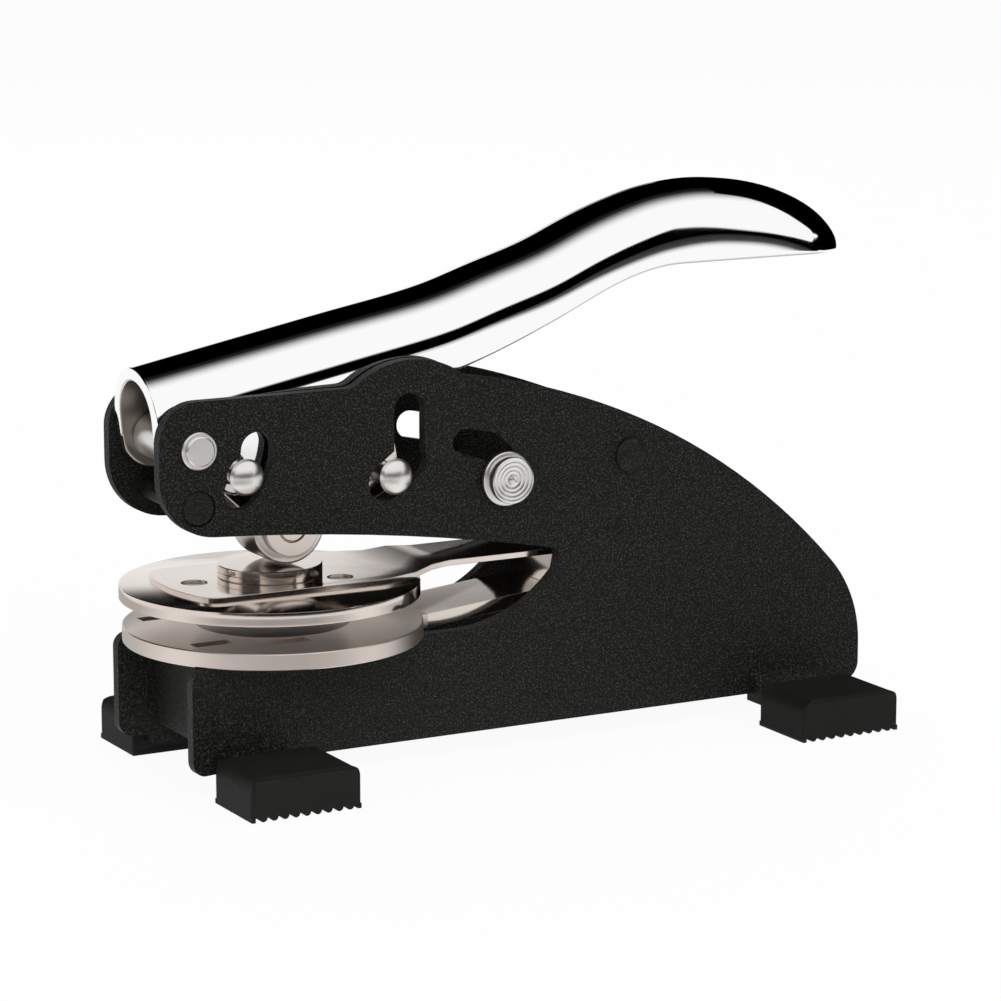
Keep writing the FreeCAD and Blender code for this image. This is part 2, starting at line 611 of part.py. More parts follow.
def side_plate(label, side):
    """One upright plate with its slots, holes and foot tabs.  side is -1 near and 1 far."""
    body = new_body(label)
    offset = PLATE_INNER if side < 0 else f"-{PLATE_OUTER}"
    sketch = new_sketch(body, "plate_outline", "XZ_Plane", offset)
    draw_outline(sketch, plate_corners())
    add_pad(body, sketch, "plate", "plate_thick")
    add_toe(body, side)
    round_corners(body, "chin", [("jaw_front", "jaw_bottom")], "jaw_chin_radius")
    round_corners(body, "brow", [("jaw_front", "jaw_top")], "jaw_brow_radius")
    round_corners(body, "heel", [("plate_rear", HEEL_Z)], "heel_radius")
    round_corners(body, "heel_foot", [("plate_rear", "plate_bottom")], "heel_corner")
    hump = [("hump_front", "jaw_top"), ("hump_rear", HUMP_REAR_Z)]
    round_corners(body, "hump_blends", hump, "hump_blend")
    round_corners(body, "throat_tip", [("throat_end", "throat_roof")], "throat_tip_radius")
    toe = [("toe_front", "plate_bottom"), ("toe_front", "throat_floor")]
    round_corners(body, "toe_corners", toe, "toe_corner", Vector(0, 1, 0))
    add_tab(body, "front_tab", "front_foot", side, True)
    add_tab(body, "rear_tab", "rear_foot", side, False)
    round_tab(body, "front_tab", "front_foot")
    round_tab(body, "rear_tab", "rear_foot")
    cut_press_slot(body)
    cut_hole(body, "press_slot_eye", "press_pin_x", "press_pin_z", "press_eye")
    cut_capsule(body, "lift_slot", ("lift_slot_x", "lift_slot_top"),
                ("lift_slot_x", "lift_slot_low"), "lift_slot_half")
    cut_capsule(body, "fulcrum_notch", ("lift_slot_x", "lift_slot_low"),
                ("notch_x", "notch_z"), "notch_half")
    lock_path = [("lock_x", "lock_z"), ("lock_turn_x", "lock_turn_z"),
                 ("lock_bend_x", "lock_bend_z"), ("lock_end_x", "lock_end_z")]
    for leg, (start, end) in enumerate(zip(lock_path, lock_path[1:]), start=1):
        cut_capsule(body, f"lock_slot_{leg}", start, end, "lock_slot_half")
    cut_hole(body, "pivot_hole", "pivot_x", "pivot_z", "pivot_radius + seat_fit")
    head_hole = "cross_rivet_head + seat_fit"
    cut_hole(body, "front_rivet_hole", "front_rivet_x", "front_rivet_z", head_hole)
    cut_hole(body, "rear_rivet_hole", "rear_rivet_x", "rear_rivet_z", "rear_rivet_shank + seat_fit")
    return body


# ---------------------------------------------------------------- fixed pieces of the frame

def front_web():
    """The upright web between the flared toes, under the lower die plate."""
    body = new_body("front_web")
    sketch = new_sketch(body, "web_outline", "XY_Plane", "web_bottom")
    rear = "(web_front + web_thick)"
    face = f"{PLATE_INNER} - seat_fit"
    draw_outline(sketch, [
        ("web_front", flared(face, "web_front", -1)),
        (rear, flared(face, rear, -1)),
        (rear, flared(face, rear, 1)),
        ("web_front", flared(face, "web_front", 1)),
    ])
    add_pad(body, sketch, "web", "throat_floor - seat_fit - web_bottom")
    return body


def headed_pin(label, across, up, shank, profile):
    """A cross pin or rivet with the same head at both ends, turned round its axis."""
    body = new_body(label)
    corners = [("0", f"-({profile[0][1]})")]
    corners += [(radius, f"-({height})") for radius, height in profile[1:]]
    corners += [(shank, f"-({profile[-1][1]})")]
    corners += [(shank, profile[-1][1])]
    corners += [(radius, height) for radius, height in reversed(profile[1:])]
    corners += [("0", profile[0][1])]
    turned(body, "pin", corners)
    lay_across(body, across, up)
    return body


def flush_rivet():
    """The front cross rivet: its heads lie flush in the plates."""
    outer = PLATE_OUTER
    inner = f"({PLATE_INNER} + seat_fit)"
    profile = [("0", outer), ("cross_rivet_head", outer), ("cross_rivet_head", inner)]
    return headed_pin("front_cross_rivet", "front_rivet_x", "front_rivet_z",
                      "front_rivet_shank", profile)


def rear_rivet():
    """The rear cross rivet: low round heads stand out from the plates."""
    top = f"({PLATE_OUTER} + rear_rivet_rise)"
    shoulder = f"({PLATE_OUTER} + rear_rivet_rim)"
    seat = f"({PLATE_OUTER} + seat_fit)"
    profile = [("0", top), ("rear_rivet_face", top), ("cross_rivet_head", shoulder),
               ("cross_rivet_head", seat)]
    return headed_pin("rear_cross_rivet", "rear_rivet_x", "rear_rivet_z",
                      "rear_rivet_shank", profile)


def sleeve(label, across, up, bore, outside, half_length):
    """A distance sleeve on a cross rivet."""
    body = new_body(label)
    turned(body, "sleeve", [
        (bore, f"-({half_length})"),
        (outside, f"-({half_length})"),
        (outside, half_length),
        (bore, half_length),
    ])
    lay_across(body, across, up)
    return body


def pivot_rivet():
    """The handle's pivot: a stepped flat head outside each plate."""
    top = f"({PLATE_OUTER} + pivot_head_rise)"
    step = f"({PLATE_OUTER} + pivot_rim_rise)"
    seat = f"({PLATE_OUTER} + seat_fit)"
    profile = [("0", top), ("pivot_head - pivot_rim_width", top), ("pivot_head - pivot_rim_width", step),
               ("pivot_head", step), ("pivot_head", seat)]
    return headed_pin("handle_pivot_rivet", "pivot_x", "pivot_z", "pivot_radius", profile)


def rubber_foot(label, foot_front, side):
    """A rubber foot pushed over its steel tab, with treads across its sole except at the plate."""
    body = new_body(label)
    sketch = new_sketch(body, "foot_outline", "XY_Plane")
    rear = f"({foot_front} + foot_length)"
    outer = f"{side} * (foot_inner + foot_width)"
    inner = f"{side} * foot_inner"
    outline = [(foot_front, inner), (foot_front, outer), (rear, outer), (rear, inner)]
    draw_outline(sketch, outline[::side])
    add_pad(body, sketch, "foot", "foot_height")
    crest = [(foot_front, "foot_height"), (rear, "foot_height")]
    round_corners(body, "upper_edges", crest, "foot_top_radius")
    round_corners(body, "side_edges", outline, "foot_side_radius", Vector(0, 0, 1))
    slot = new_sketch(body, "tab_slot_outline", "XY_Plane", "tab_lift - foot_slot_fit")
    slot_front = f"({foot_front} + foot_wall - foot_slot_fit)"
    slot_rear = f"({foot_front} + foot_length - foot_wall + foot_slot_fit)"
    slot_end = f"{side} * (foot_inner + foot_width - foot_wall + foot_slot_fit)"
    mouth = f"{side} * (foot_inner - foot_wall)"
    draw_outline(slot, [
        (slot_front, mouth),
        (slot_front, slot_end),
        (slot_rear, slot_end),
        (slot_rear, mouth),
    ][::side])
    add_pocket(body, slot, "tab_slot", "tab_thick + 2 * foot_slot_fit", reverse=True)
    half_way = f"-({side}) * (2 * foot_inner + foot_width + tool_side + tread_margin) / 2"
    groove = new_sketch(body, "groove_outline", "XZ_Plane", half_way)
    run = "((groove_count - 1) * tread_pitch)"
    start = f"({foot_front} + (foot_length - {run} - tread_groove) / 2)"
    draw_outline(groove, [
        (start, "-tool_side"),
        (f"{start} + tread_groove", "-tool_side"),
        (f"{start} + tread_groove", "tread_depth"),
        (start, "tread_depth"),
    ])
    cut = add_pocket(body, groove, "tread_groove", "foot_width + tool_side - tread_margin",
                     symmetric=True)
    treads = body.newObject("PartDesign::LinearPattern", "treads")
    treads.Originals = [cut]
    axis = [feature for feature in body.Origin.OriginFeatures if feature.Role == "X_Axis"][0]
    treads.Direction = (axis, [""])
    treads.setExpression("Length", bound(run))
    treads.setExpression("Occurrences", bound("groove_count"))
    body.Tip = treads
    doc.recompute()
    return body


# ---------------------------------------------------------------- handle

def handle_stations():
    """Where along the handle its section is given, with the height of its top."""
    slope = "(neck_top - brow_top) / (neck_x - handle_front)"
    names = ["neck", "waist", "rise", "ramp", "shoulder", "heel", "crown", "saddle", "palm",
             "slope", "tail", "lip"]
    front = ("(handle_front - station_lead)", f"(brow_top - station_lead * {slope})")
    end = ("(handle_tip + end_lead)", "end_top")
    return [front] + [(f"{name}_x", f"{name}_top") for name in names] + [end]


def arch_section(body, name, across, half, top, depth):
    """An upside-down U section, filled: upright sides under a half circle."""
    sketch = new_sketch(body, name, "YZ_Plane", across)
    spring = f"({top} - {half})"
    foot = f"({top} - {half} - {depth})"
    draw_outline(sketch, [
        (f"-{half}", foot),
        (half, foot),
        (half, spring, half, 1),
        ("0", top, half, 1),
        (f"-{half}", spring),
    ])
    return sketch


def handle():
    """The cast handle: an open arch whose legs straddle the press lever."""
    body = new_body("handle")
    outer = [arch_section(body, f"outer_section_{n}", x, HANDLE_HALF, top, "leg_depth")
             for n, (x, top) in enumerate(handle_stations(), start=1)]
    loft = body.newObject("PartDesign::AdditiveLoft", "outer_shell")
    loft.Profile = outer[0]
    loft.Sections = outer[1:]
    loft.Ruled = True
    body.Tip = loft
    doc.recompute()
    stations = handle_stations()[:-3] + [("hollow_end", "(tail_top + hollow_end_rise)")]
    inner = [arch_section(body, f"hollow_section_{n}", x, HOLLOW_HALF, f"({top} - handle_crown)",
                          "leg_depth + station_lead")
             for n, (x, top) in enumerate(stations, start=1)]
    hollow = body.newObject("PartDesign::SubtractiveLoft", "hollow")
    hollow.Profile = inner[0]
    hollow.Sections = inner[1:]
    hollow.Ruled = True
    body.Tip = hollow
    doc.recompute()

    under = new_sketch(body, "lower_edge", "XZ_Plane")
    boss_low_x = "(pivot_x + boss_radius * cos(boss_turn * 1 deg))"
    boss_low_z = "(pivot_z - boss_radius * sin(boss_turn * 1 deg))"
    knee_front_x = "(press_pin_x - knee_radius * cos(knee_front_turn * 1 deg))"
    knee_front_z = "(press_pin_z - knee_radius * sin(knee_front_turn * 1 deg))"
    knee_rear_x = "(press_pin_x + knee_radius * cos(knee_rear_turn * 1 deg))"
    knee_rear_z = "(press_pin_z - knee_radius * sin(knee_rear_turn * 1 deg))"
    draw_outline(under, [
        ("handle_front - tool_margin", "jaw_bottom - tool_margin"),
        ("handle_tip + tool_margin", "jaw_bottom - tool_margin"),
        ("handle_tip + tool_margin", "grip_under"),
        ("grip_under_x", "grip_under", "rail_radius", 1),
        ("rail_rear_x", "rail_rear_z"),
        ("rail_mid_x", "rail_mid_z", "rail_radius", -1),
        ("rail_front_x", "rail_front_z"),
        ("leg_rear_x", "leg_rear_z"),
        (knee_rear_x, knee_rear_z, "knee_radius", -1),
        (knee_front_x, knee_front_z),
        (boss_low_x, boss_low_z, "boss_radius", -1),
        ("pivot_x - boss_radius", "pivot_z"),
        ("handle_front", "brow_top + tool_margin"),
        ("handle_front - tool_margin", "brow_top + tool_margin"),
    ])
    add_pocket(body, under, "lower_edge_cut")
    end = new_sketch(body, "rear_end", "XY_Plane")
    centre = f"(handle_tip - {HANDLE_HALF})"
    side = f"({HANDLE_HALF} + tool_side)"
    draw_outline(end, [
        (centre, f"-{HANDLE_HALF}", HANDLE_HALF, 1),
        ("handle_tip", "0", HANDLE_HALF, 1),
        (centre, HANDLE_HALF),
        (centre, side),
        ("handle_tip + tool_margin", side),
        ("handle_tip + tool_margin", f"-{side}"),
        (centre, f"-{side}"),
    ])
    add_pocket(body, end, "rear_end_cut")
    cut_hole(body, "pivot_bore", "pivot_x", "pivot_z", "pivot_radius + running_fit")
    cut_hole(body, "press_pin_bore", "press_pin_x", "press_pin_z", "link_pin_radius + seat_fit")
    return body


def domed_pin(label, across, up):
    """A pin of the press lever: domed heads outside the plates, clear of their faces."""
    seat = f"({PLATE_OUTER} + head_gap)"
    top = f"({PLATE_OUTER} + head_gap + link_head_rise)"
    shoulder = f"({PLATE_OUTER} + head_gap + link_shoulder_rise)"
    rim = f"({PLATE_OUTER} + head_gap + link_rim_rise)"
    profile = [("0", top), ("link_crest_radius", top), ("link_shoulder_radius", shoulder),
               ("link_head", rim), ("link_head", seat)]
    return headed_pin(label, across, up, "link_pin_radius", profile)


# ---------------------------------------------------------------- press lever and roller

def press_cheek(label, side):
    """One cheek of the press lever: three arms between its two pins and the roller's axle, and
    an upright arm over the fulcrum pin."""
    body = new_body(label)
    offset = f"{CHEEK_OUTER} - cheek_thick" if side < 0 else f"-{CHEEK_OUTER}"
    press = ("press_pin_x", "press_pin_z")
    fulcrum = ("fulcrum_x", "fulcrum_z")
    axle = ("roller_x", "roller_z")
    crest = ("cheek_crest_x", "cheek_crest_z")
    arms = [(press, fulcrum), (press, axle), (axle, fulcrum), (fulcrum, crest)]
    for number, (start, end) in enumerate(arms, start=1):
        sketch = new_sketch(body, f"arm_outline_{number}", "XZ_Plane", offset)
        draw_capsule(sketch, start, end, "cheek_band")
        add_pad(body, sketch, f"arm_{number}", "cheek_thick")
    middle = new_sketch(body, "web_outline", "XZ_Plane", offset)
    draw_outline(middle, [press, axle, fulcrum])
    add_pad(body, middle, "web", "cheek_thick")
    eye = new_sketch(body, "eye_outline", "XZ_Plane", offset)
    draw_circle(eye, *axle, "cheek_eye")
    add_pad(body, eye, "eye", "cheek_thick")
    cut_hole(body, "press_pin_bore", *press, "link_pin_radius + running_fit")
    cut_hole(body, "fulcrum_pin_bore", *fulcrum, "link_pin_radius + seat_fit")
    cut_hole(body, "axle_bore", *axle, "axle_radius + seat_fit")
    return body


def roller_axle():
    """The axle's ends lie flush in the cheeks."""
    body = new_body("roller_axle")
    turned(body, "axle", [
        ("0", f"-{CHEEK_OUTER}"),
        ("axle_radius", f"-{CHEEK_OUTER}"),
        ("axle_radius", CHEEK_OUTER),
        ("0", CHEEK_OUTER),
    ])
    lay_across(body, "roller_x", "roller_z")
    return body


def roller():
    body = new_body("roller")
    bore = "(axle_radius + running_fit)"
    edge = "(roller_radius - roller_edge)"
    turned(body, "roller", [
        (bore, f"-{ROLLER_HALF}"),
        (edge, f"-{ROLLER_HALF}"),
        ("roller_radius", f"-({ROLLER_HALF} - roller_edge)"),
        ("roller_radius", f"{ROLLER_HALF} - roller_edge"),
        (edge, ROLLER_HALF),
        (bore, ROLLER_HALF),
    ])
    lay_across(body, "roller_x", "roller_z")
    return body


# ---------------------------------------------------------------- lock

def lock_rod():
    """The rod of the lock, across both plates."""
    body = new_body("lock_rod")
    near = f"({PLATE_OUTER} + head_gap)"
    far = f"({PLATE_OUTER} + head_gap + lock_clip_thick + lock_rod_end)"
    turned(body, "rod", [
        ("0", f"-{far}"),
        ("lock_rod_radius", f"-{far}"),
        ("lock_rod_radius", near),
        ("0", near),
    ])
    lay_across(body, "lock_x", "lock_z")
    return body


def lock_knob():
    """The turned knob on the near end of the rod: a flange and a shallow dished cap."""
    body = new_body("lock_knob")
    seat = f"({PLATE_OUTER} + head_gap)"
    flange = f"({PLATE_OUTER} + head_gap + knob_flange_thick)"
    top = f"({PLATE_OUTER} + head_gap + knob_height)"
    dish = f"({PLATE_OUTER} + head_gap + knob_height - knob_cone)"
    turned(body, "knob", [
        ("0", seat),
        ("knob_flange", seat),
        ("knob_flange", flange),
        ("knob_cap", flange),
        ("knob_cap", f"{top} - knob_edge"),
        ("knob_cap - knob_edge", top),
        ("knob_centre", dish),
        ("0", dish),
    ])
    lay_across(body, "lock_x", "lock_z")
    return body


def lock_washer():
    """The retaining washer pressed on the far end of the rod."""
    body = new_body("lock_retaining_washer")
    seat = f"({PLATE_OUTER} + head_gap)"
    face = f"({PLATE_OUTER} + head_gap + lock_clip_thick)"
    bore = "(lock_rod_radius + seat_fit)"
    turned(body, "washer", [
        (bore, f"-{face}"),
        ("lock_clip_radius", f"-{face}"),
        ("lock_clip_radius", f"-{seat}"),
        (bore, f"-{seat}"),
    ])
    lay_across(body, "lock_x", "lock_z")
    return body


# ---------------------------------------------------------------- dies and their arms

def disc(label, centre, bottom, thick, radius, edge):
    """A flat round plate with both edges broken."""
    body = new_body(label)
    turned(body, "disc", [
        ("0", bottom),
        (f"{radius} - {edge}", bottom),
        (radius, f"{bottom} + {edge}"),
        (radius, f"{bottom} + {thick} - {edge}"),
        (f"{radius} - {edge}", f"{bottom} + {thick}"),
        ("0", f"{bottom} + {thick}"),
    ])
    body.setExpression("Placement.Base.x", bound(f"die_axis + {centre}"))
    return body


def lower_die_plate():
    """The lower die plate: a disc that rests on the throat's floor, and its tail."""
    body = disc("lower_die_plate", "lower_disc_x", "throat_floor", "lower_disc_thick",
                "disc_radius", "disc_edge")
    tail = new_sketch(body, "tail_side", "XZ_Plane")
    shift = "lower_disc_x"
    lift = "(throat_floor + lower_tail_lift)"
    low = "throat_floor"
    draw_outline(tail, [
        (f"lower_tail_front - {shift}", low),
        (f"lower_tail_foot - {shift}", low),
        (f"lower_tail_top - {shift}", lift),
        (f"tail_rear - {shift}", lift),
        (f"tail_rear - {shift}", f"{lift} + lower_tail_thick"),
        (f"lower_tail_top - {shift}", f"{lift} + lower_tail_thick"),
        (f"lower_tail_foot - {shift}", f"{low} + lower_tail_thick"),
        (f"lower_tail_front - {shift}", f"{low} + lower_tail_thick"),
    ])
    add_pad(body, tail, "tail", "2 * tail_half", symmetric=True)
    recess = new_sketch(body, "die_recess_outline", "XY_Plane", LOWER_DISC_TOP)
    draw_circle(recess, "0", "0", "die_radius + seat_fit")
    add_pocket(body, recess, "die_recess", "die_recess")
    windows = new_sketch(body, "windows_outline", "XY_Plane", "throat_floor")
    for middle, aside in (("front_window_x", "front_window_side"), ("rear_window_x", "rear_window_side")):
        front = f"({middle} - window_length / 2)"
        back = f"({middle} + window_length / 2)"
        for hand in ("-1", "1"):
            inner = f"{hand} * ({aside} - window_width / 2)"
            outer = f"{hand} * ({aside} + window_width / 2)"
            draw_outline(windows, [(front, inner), (back, inner), (back, outer), (front, outer)])
    add_pocket(body, windows, "windows")
    bolt = new_sketch(body, "clamp_bores_outline", "XY_Plane", "throat_floor")
    for side in ("-", ""):
        draw_circle(bolt, f"hinge_x - {shift}", f"{side}hinge_side", "hinge_rivet_radius + seat_fit")
    add_pocket(body, bolt, "clamp_bores")
    return body


def upper_arm():
    """The spring-steel arm of the upper die: a broad bowed nose, a joggle and a narrow tail."""
    body = new_body("upper_die_arm")
    side = new_sketch(body, "arm_side", "XZ_Plane")
    draw_outline(side, [
        ("arm_front", UPPER_DISC_TOP),
        ("joggle_front", UPPER_DISC_TOP),
        ("joggle_rear", ARM_TAIL),
        ("tail_rear", ARM_TAIL),
        ("tail_rear", f"{ARM_TAIL} + arm_thick"),
        ("joggle_rear", f"{ARM_TAIL} + arm_thick"),
        ("joggle_front", f"{UPPER_DISC_TOP} + arm_thick"),
        ("arm_front", f"{UPPER_DISC_TOP} + arm_thick"),
    ])
    add_pad(body, side, "arm", "2 * arm_half", symmetric=True)
    waste = new_sketch(body, "waste_outline", "XY_Plane")
    for hand in (1, -1):
        flank = f"{hand} * arm_half"
        tail = f"{hand} * tail_half"
        draw_outline(waste, [
            ("arm_taper_front", flank),
            ("arm_taper_rear", tail),
            ("tail_rear + tool_side", tail),
            ("tail_rear + tool_side", f"{flank} + {hand} * tool_side"),
            ("arm_taper_front", f"{flank} + {hand} * tool_side"),
        ][::hand])
    add_pocket(body, waste, "waste")
    corner = "(arm_front + arm_bow - sqrt(arm_bow ^ 2 - arm_half ^ 2))"
    bow = new_sketch(body, "bow_outline", "XY_Plane")
    draw_outline(bow, [
        (corner, "arm_half", "arm_bow", 1),
        (corner, "-arm_half"),
        ("arm_front - tool_side", "-arm_half"),
        ("arm_front - tool_side", "arm_half"),
    ])
    add_pocket(body, bow, "bow")
    front = [(corner, "arm_half"), (corner, "-arm_half")]
    round_corners(body, "front_corners", front, "arm_corner", Vector(0, 0, 1))
    holes = new_sketch(body, "rivet_holes_outline", "XY_Plane")
    for across, aside in arm_rivets():
        draw_circle(holes, across, aside, "arm_rivet_radius + arm_rivet_fit")
    for hand in ("-", ""):
        draw_circle(holes, "hinge_x", f"{hand}hinge_side", "hinge_rivet_radius + arm_rivet_fit")
    add_pocket(body, holes, "rivet_holes")
    return body


def arm_rivets():
    """Places of the three rivets that hold the arm on the upper die plate."""
    return [("arm_rivet_front", "0"), ("arm_rivet_rear", "-arm_rivet_side"),
            ("arm_rivet_rear", "arm_rivet_side")]


def pins_group(label, places, radius, bottom, height, head=None, head_thick=None):
    """Equal upright rivets as one group of separate solids."""
    body_list = []
    for number, (across, aside) in enumerate(places, start=1):
        pin = doc.addObject("Part::Cylinder", f"{label}_shank_{number}")
        pin.setExpression("Radius", bound(radius))
        pin.setExpression("Height", bound(height))
        pin.setExpression("Placement.Base.x", bound(across))
        pin.setExpression("Placement.Base.y", bound(aside))
        pin.setExpression("Placement.Base.z", bound(bottom))
        if head is None:
            body_list.append(pin)
            continue
        cap = doc.addObject("Part::Cylinder", f"{label}_head_{number}")
        cap.setExpression("Radius", bound(head))
        cap.setExpression("Height", bound(head_thick))
        cap.setExpression("Placement.Base.x", bound(across))
        cap.setExpression("Placement.Base.y", bound(aside))
        cap.setExpression("Placement.Base.z", bound(f"{bottom} + {height}"))
        whole = doc.addObject("Part::Fuse", f"{label}_rivet_{number}")
        whole.Base = pin
        whole.Tool = cap
        body_list.append(whole)
    group = doc.addObject("Part::Compound", label)
    group.Label = label
    group.Links = body_list
    group.setExpression("Placement.Base.x", bound("die_axis"))
    doc.recompute()
    return group


def arm_spacer():
    """The block between the two tails at the rear of the die set."""
    block = doc.addObject("Part::Box", "spacer_block")
    block.setExpression("Length", bound("tail_rear - spacer_front"))
    block.setExpression("Width", bound("2 * tail_half"))
    block.setExpression("Height", bound(f"{ARM_TAIL} - hinge_play - {LOWER_TAIL_TOP}"))
    block.setExpression("Placement.Base.x", bound("spacer_front"))
    block.setExpression("Placement.Base.y", bound("-tail_half"))
    block.setExpression("Placement.Base.z", bound(LOWER_TAIL_TOP))
    bores = []
    for hand in ("-", ""):
        bore = doc.addObject("Part::Cylinder", "spacer_bore")
        bore.setExpression("Radius", bound("hinge_rivet_radius + seat_fit"))
        bore.setExpression("Height", bound("upper_disc_bottom"))
        bore.setExpression("Placement.Base.x", bound("hinge_x"))
        bore.setExpression("Placement.Base.y", bound(f"{hand}hinge_side"))
        bore.setExpression("Placement.Base.z", bound("throat_floor"))
        bores.append(bore)
    pair = doc.addObject("Part::Compound", "spacer_bores")
    pair.Links = bores
    cut = doc.addObject("Part::Cut", "die_arm_spacer")
    cut.Base = block
    cut.Tool = pair
    cut.Label = "die_arm_spacer"
    cut.setExpression("Placement.Base.x", bound("die_axis"))
    doc.recompute()
    return cut


# ---------------------------------------------------------------- build

pieces = [
    side_plate("near_side_plate", -1),
    side_plate("far_side_plate", 1),
    front_web(),
    flush_rivet(),
    rear_rivet(),
    sleeve("rear_distance_sleeve", "rear_rivet_x", "rear_rivet_z", "rear_rivet_shank + seat_fit",
           "rear_rivet_shank + rear_sleeve_wall", f"{PLATE_INNER} - seat_fit"),
    pivot_rivet(),
    sleeve("handle_pivot_sleeve", "pivot_x", "pivot_z", "pivot_radius + running_fit",
           "pivot_sleeve_radius", f"{HOLLOW_HALF} - head_gap"),
    rubber_foot("front_near_foot", "front_foot", -1),
    rubber_foot("front_far_foot", "front_foot", 1),
    rubber_foot("rear_near_foot", "rear_foot", -1),
    rubber_foot("rear_far_foot", "rear_foot", 1),
    lower_die_plate(),
    disc("lower_die", "lower_disc_x", f"({LOWER_DISC_TOP} - die_recess)", "die_recess",
         "die_radius", "disc_edge"),
    arm_spacer(),
    pins_group("die_set_rivets", [("hinge_x", "-hinge_side"), ("hinge_x", "hinge_side")],
               "hinge_rivet_radius", "throat_floor + lower_tail_lift",
               f"{ARM_TAIL} + arm_thick + hinge_play - throat_floor - lower_tail_lift",
               "hinge_head", "hinge_head_thick"),
    handle(),
    domed_pin("press_pin", "press_pin_x", "press_pin_z"),
    press_cheek("near_press_cheek", -1),
    press_cheek("far_press_cheek", 1),
    domed_pin("fulcrum_pin", "fulcrum_x", "fulcrum_z"),
    roller_axle(),
    roller(),
    disc("upper_die_plate", "0", "upper_disc_bottom", "upper_disc_thick", "disc_radius", "disc_edge"),
    disc("upper_die", "0", "(upper_disc_bottom - upper_die_drop)", "upper_die_drop", "die_radius",
         "disc_edge"),
    upper_arm(),
    pins_group("upper_arm_rivets", arm_rivets(), "arm_rivet_radius", UPPER_DISC_TOP,
               "arm_thick - arm_rivet_sink"),
    disc("pressure_button", "0", f"({UPPER_DISC_TOP} + arm_thick)", "button_thick",
         "button_radius", "button_edge"),
    lock_rod(),
    lock_knob(),
    lock_washer(),
]
doc.recompute()

for item in doc.Objects:
    if "Invalid" in item.State or "Error" in item.State:
        raise RuntimeError(f"{item.Label} failed: {item.State}")
for piece in pieces:
    if piece.Shape.isNull() or not piece.Shape.isValid() or not piece.Shape.Solids:
        raise RuntimeError(f"{piece.Label} has no sound solid")

os.makedirs("parts", exist_ok=True)
for piece in pieces:
    piece.Shape.exportStep(f"parts/{piece.Label}.step")

whole = FreeCAD.BoundBox()
for piece in pieces:
    whole.add(piece.Shape.BoundBox)
print(f"{len(pieces)} pieces, {whole.XLength:.1f} x {whole.YLength:.1f} x {whole.ZLength:.1f} mm")
print(f"X {whole.XMin:.2f} to {whole.XMax:.2f}, Z {whole.ZMin:.2f} to {whole.ZMax:.2f}")
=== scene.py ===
# %% [markdown]
# # A desk seal embosser, dressed in Blender
# The CAD model gives every piece its true shape, size and place. This lesson gives each piece the
# finish of the real one: textured black powder coat, mirror chrome, nickel-plated steel and
# rubber. It goes the way a workshop would: first the room and its light, then the finishes,
# then one piece after another.

import json
import math

import bmesh
import bpy
from mathutils import Matrix, Vector


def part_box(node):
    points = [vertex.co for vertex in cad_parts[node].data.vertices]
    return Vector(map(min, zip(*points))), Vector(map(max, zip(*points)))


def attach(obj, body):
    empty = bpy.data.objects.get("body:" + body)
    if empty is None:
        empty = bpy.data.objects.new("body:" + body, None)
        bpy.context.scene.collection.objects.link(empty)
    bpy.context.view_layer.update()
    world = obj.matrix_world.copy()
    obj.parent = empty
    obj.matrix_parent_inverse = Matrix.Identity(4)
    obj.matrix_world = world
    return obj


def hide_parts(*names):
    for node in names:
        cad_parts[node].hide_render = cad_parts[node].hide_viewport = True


MM = 0.001

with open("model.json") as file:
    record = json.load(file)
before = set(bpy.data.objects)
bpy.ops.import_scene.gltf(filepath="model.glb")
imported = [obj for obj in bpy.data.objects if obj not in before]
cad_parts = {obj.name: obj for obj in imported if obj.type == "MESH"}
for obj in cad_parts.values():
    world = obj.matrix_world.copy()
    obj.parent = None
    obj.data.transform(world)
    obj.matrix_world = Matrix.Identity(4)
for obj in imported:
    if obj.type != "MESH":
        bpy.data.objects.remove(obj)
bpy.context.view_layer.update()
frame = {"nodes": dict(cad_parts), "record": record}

# %% [markdown]
# ## The camera
# A long lens from a little above the desk keeps the long handle from looking stretched. A camera
# could be turned by three angles, but it is easier to say where it stands and which point it
# looks at: `to_track_quat` then finds the turn, with the horizon level.

# %% Place the camera
camera_place = Vector((-365.2, -668.4, 199.1)) * MM
camera_aim = Vector((12.22, 19.85, 44.79)) * MM
camera_lens = 136.42

camera_data = bpy.data.cameras.new("view")
camera_data.lens = camera_lens
camera_data.sensor_width = 36.0
camera_data.clip_start = 0.05
camera = bpy.data.objects.new("view", camera_data)
camera.location = camera_place
camera.rotation_euler = (camera_aim - camera_place).to_track_quat("-Z", "Y").to_euler()
bpy.context.scene.collection.objects.link(camera)
bpy.context.scene.camera = camera
print("camera stands", round((camera_aim - camera_place).length, 3), "m from its aim")

# %% [markdown]
# ## Node trees written as sentences
# Materials and Geometry Nodes are both trees of nodes. Two small classes make them readable:
# `Value` wraps one socket, so that `1 - mask * 2` adds the Math nodes by itself, and `Tree.node`
# adds any other node from its type, its settings and the values or links of its sockets.

# %% A socket that does arithmetic
class Value:
    def __init__(self, tree, socket):
        self.tree = tree
        self.socket = socket

    def out(self, name):
        """Another output of the same node."""
        return Value(self.tree, self.socket.node.outputs[name])

    def math(self, operation, *others):
        inputs = {place: other for place, other in enumerate((self,) + others)}
        return self.tree.node("ShaderNodeMath", {"operation": operation}, inputs)

    def __add__(self, other):
        return self.math("ADD", other)

    def __mul__(self, other):
        return self.math("MULTIPLY", other)

    def __sub__(self, other):
        return self.math("SUBTRACT", other)

    def __rsub__(self, other):
        return self.tree.node("ShaderNodeMath", {"operation": "SUBTRACT"}, {0: other, 1: self})

    __radd__ = __add__
    __rmul__ = __mul__


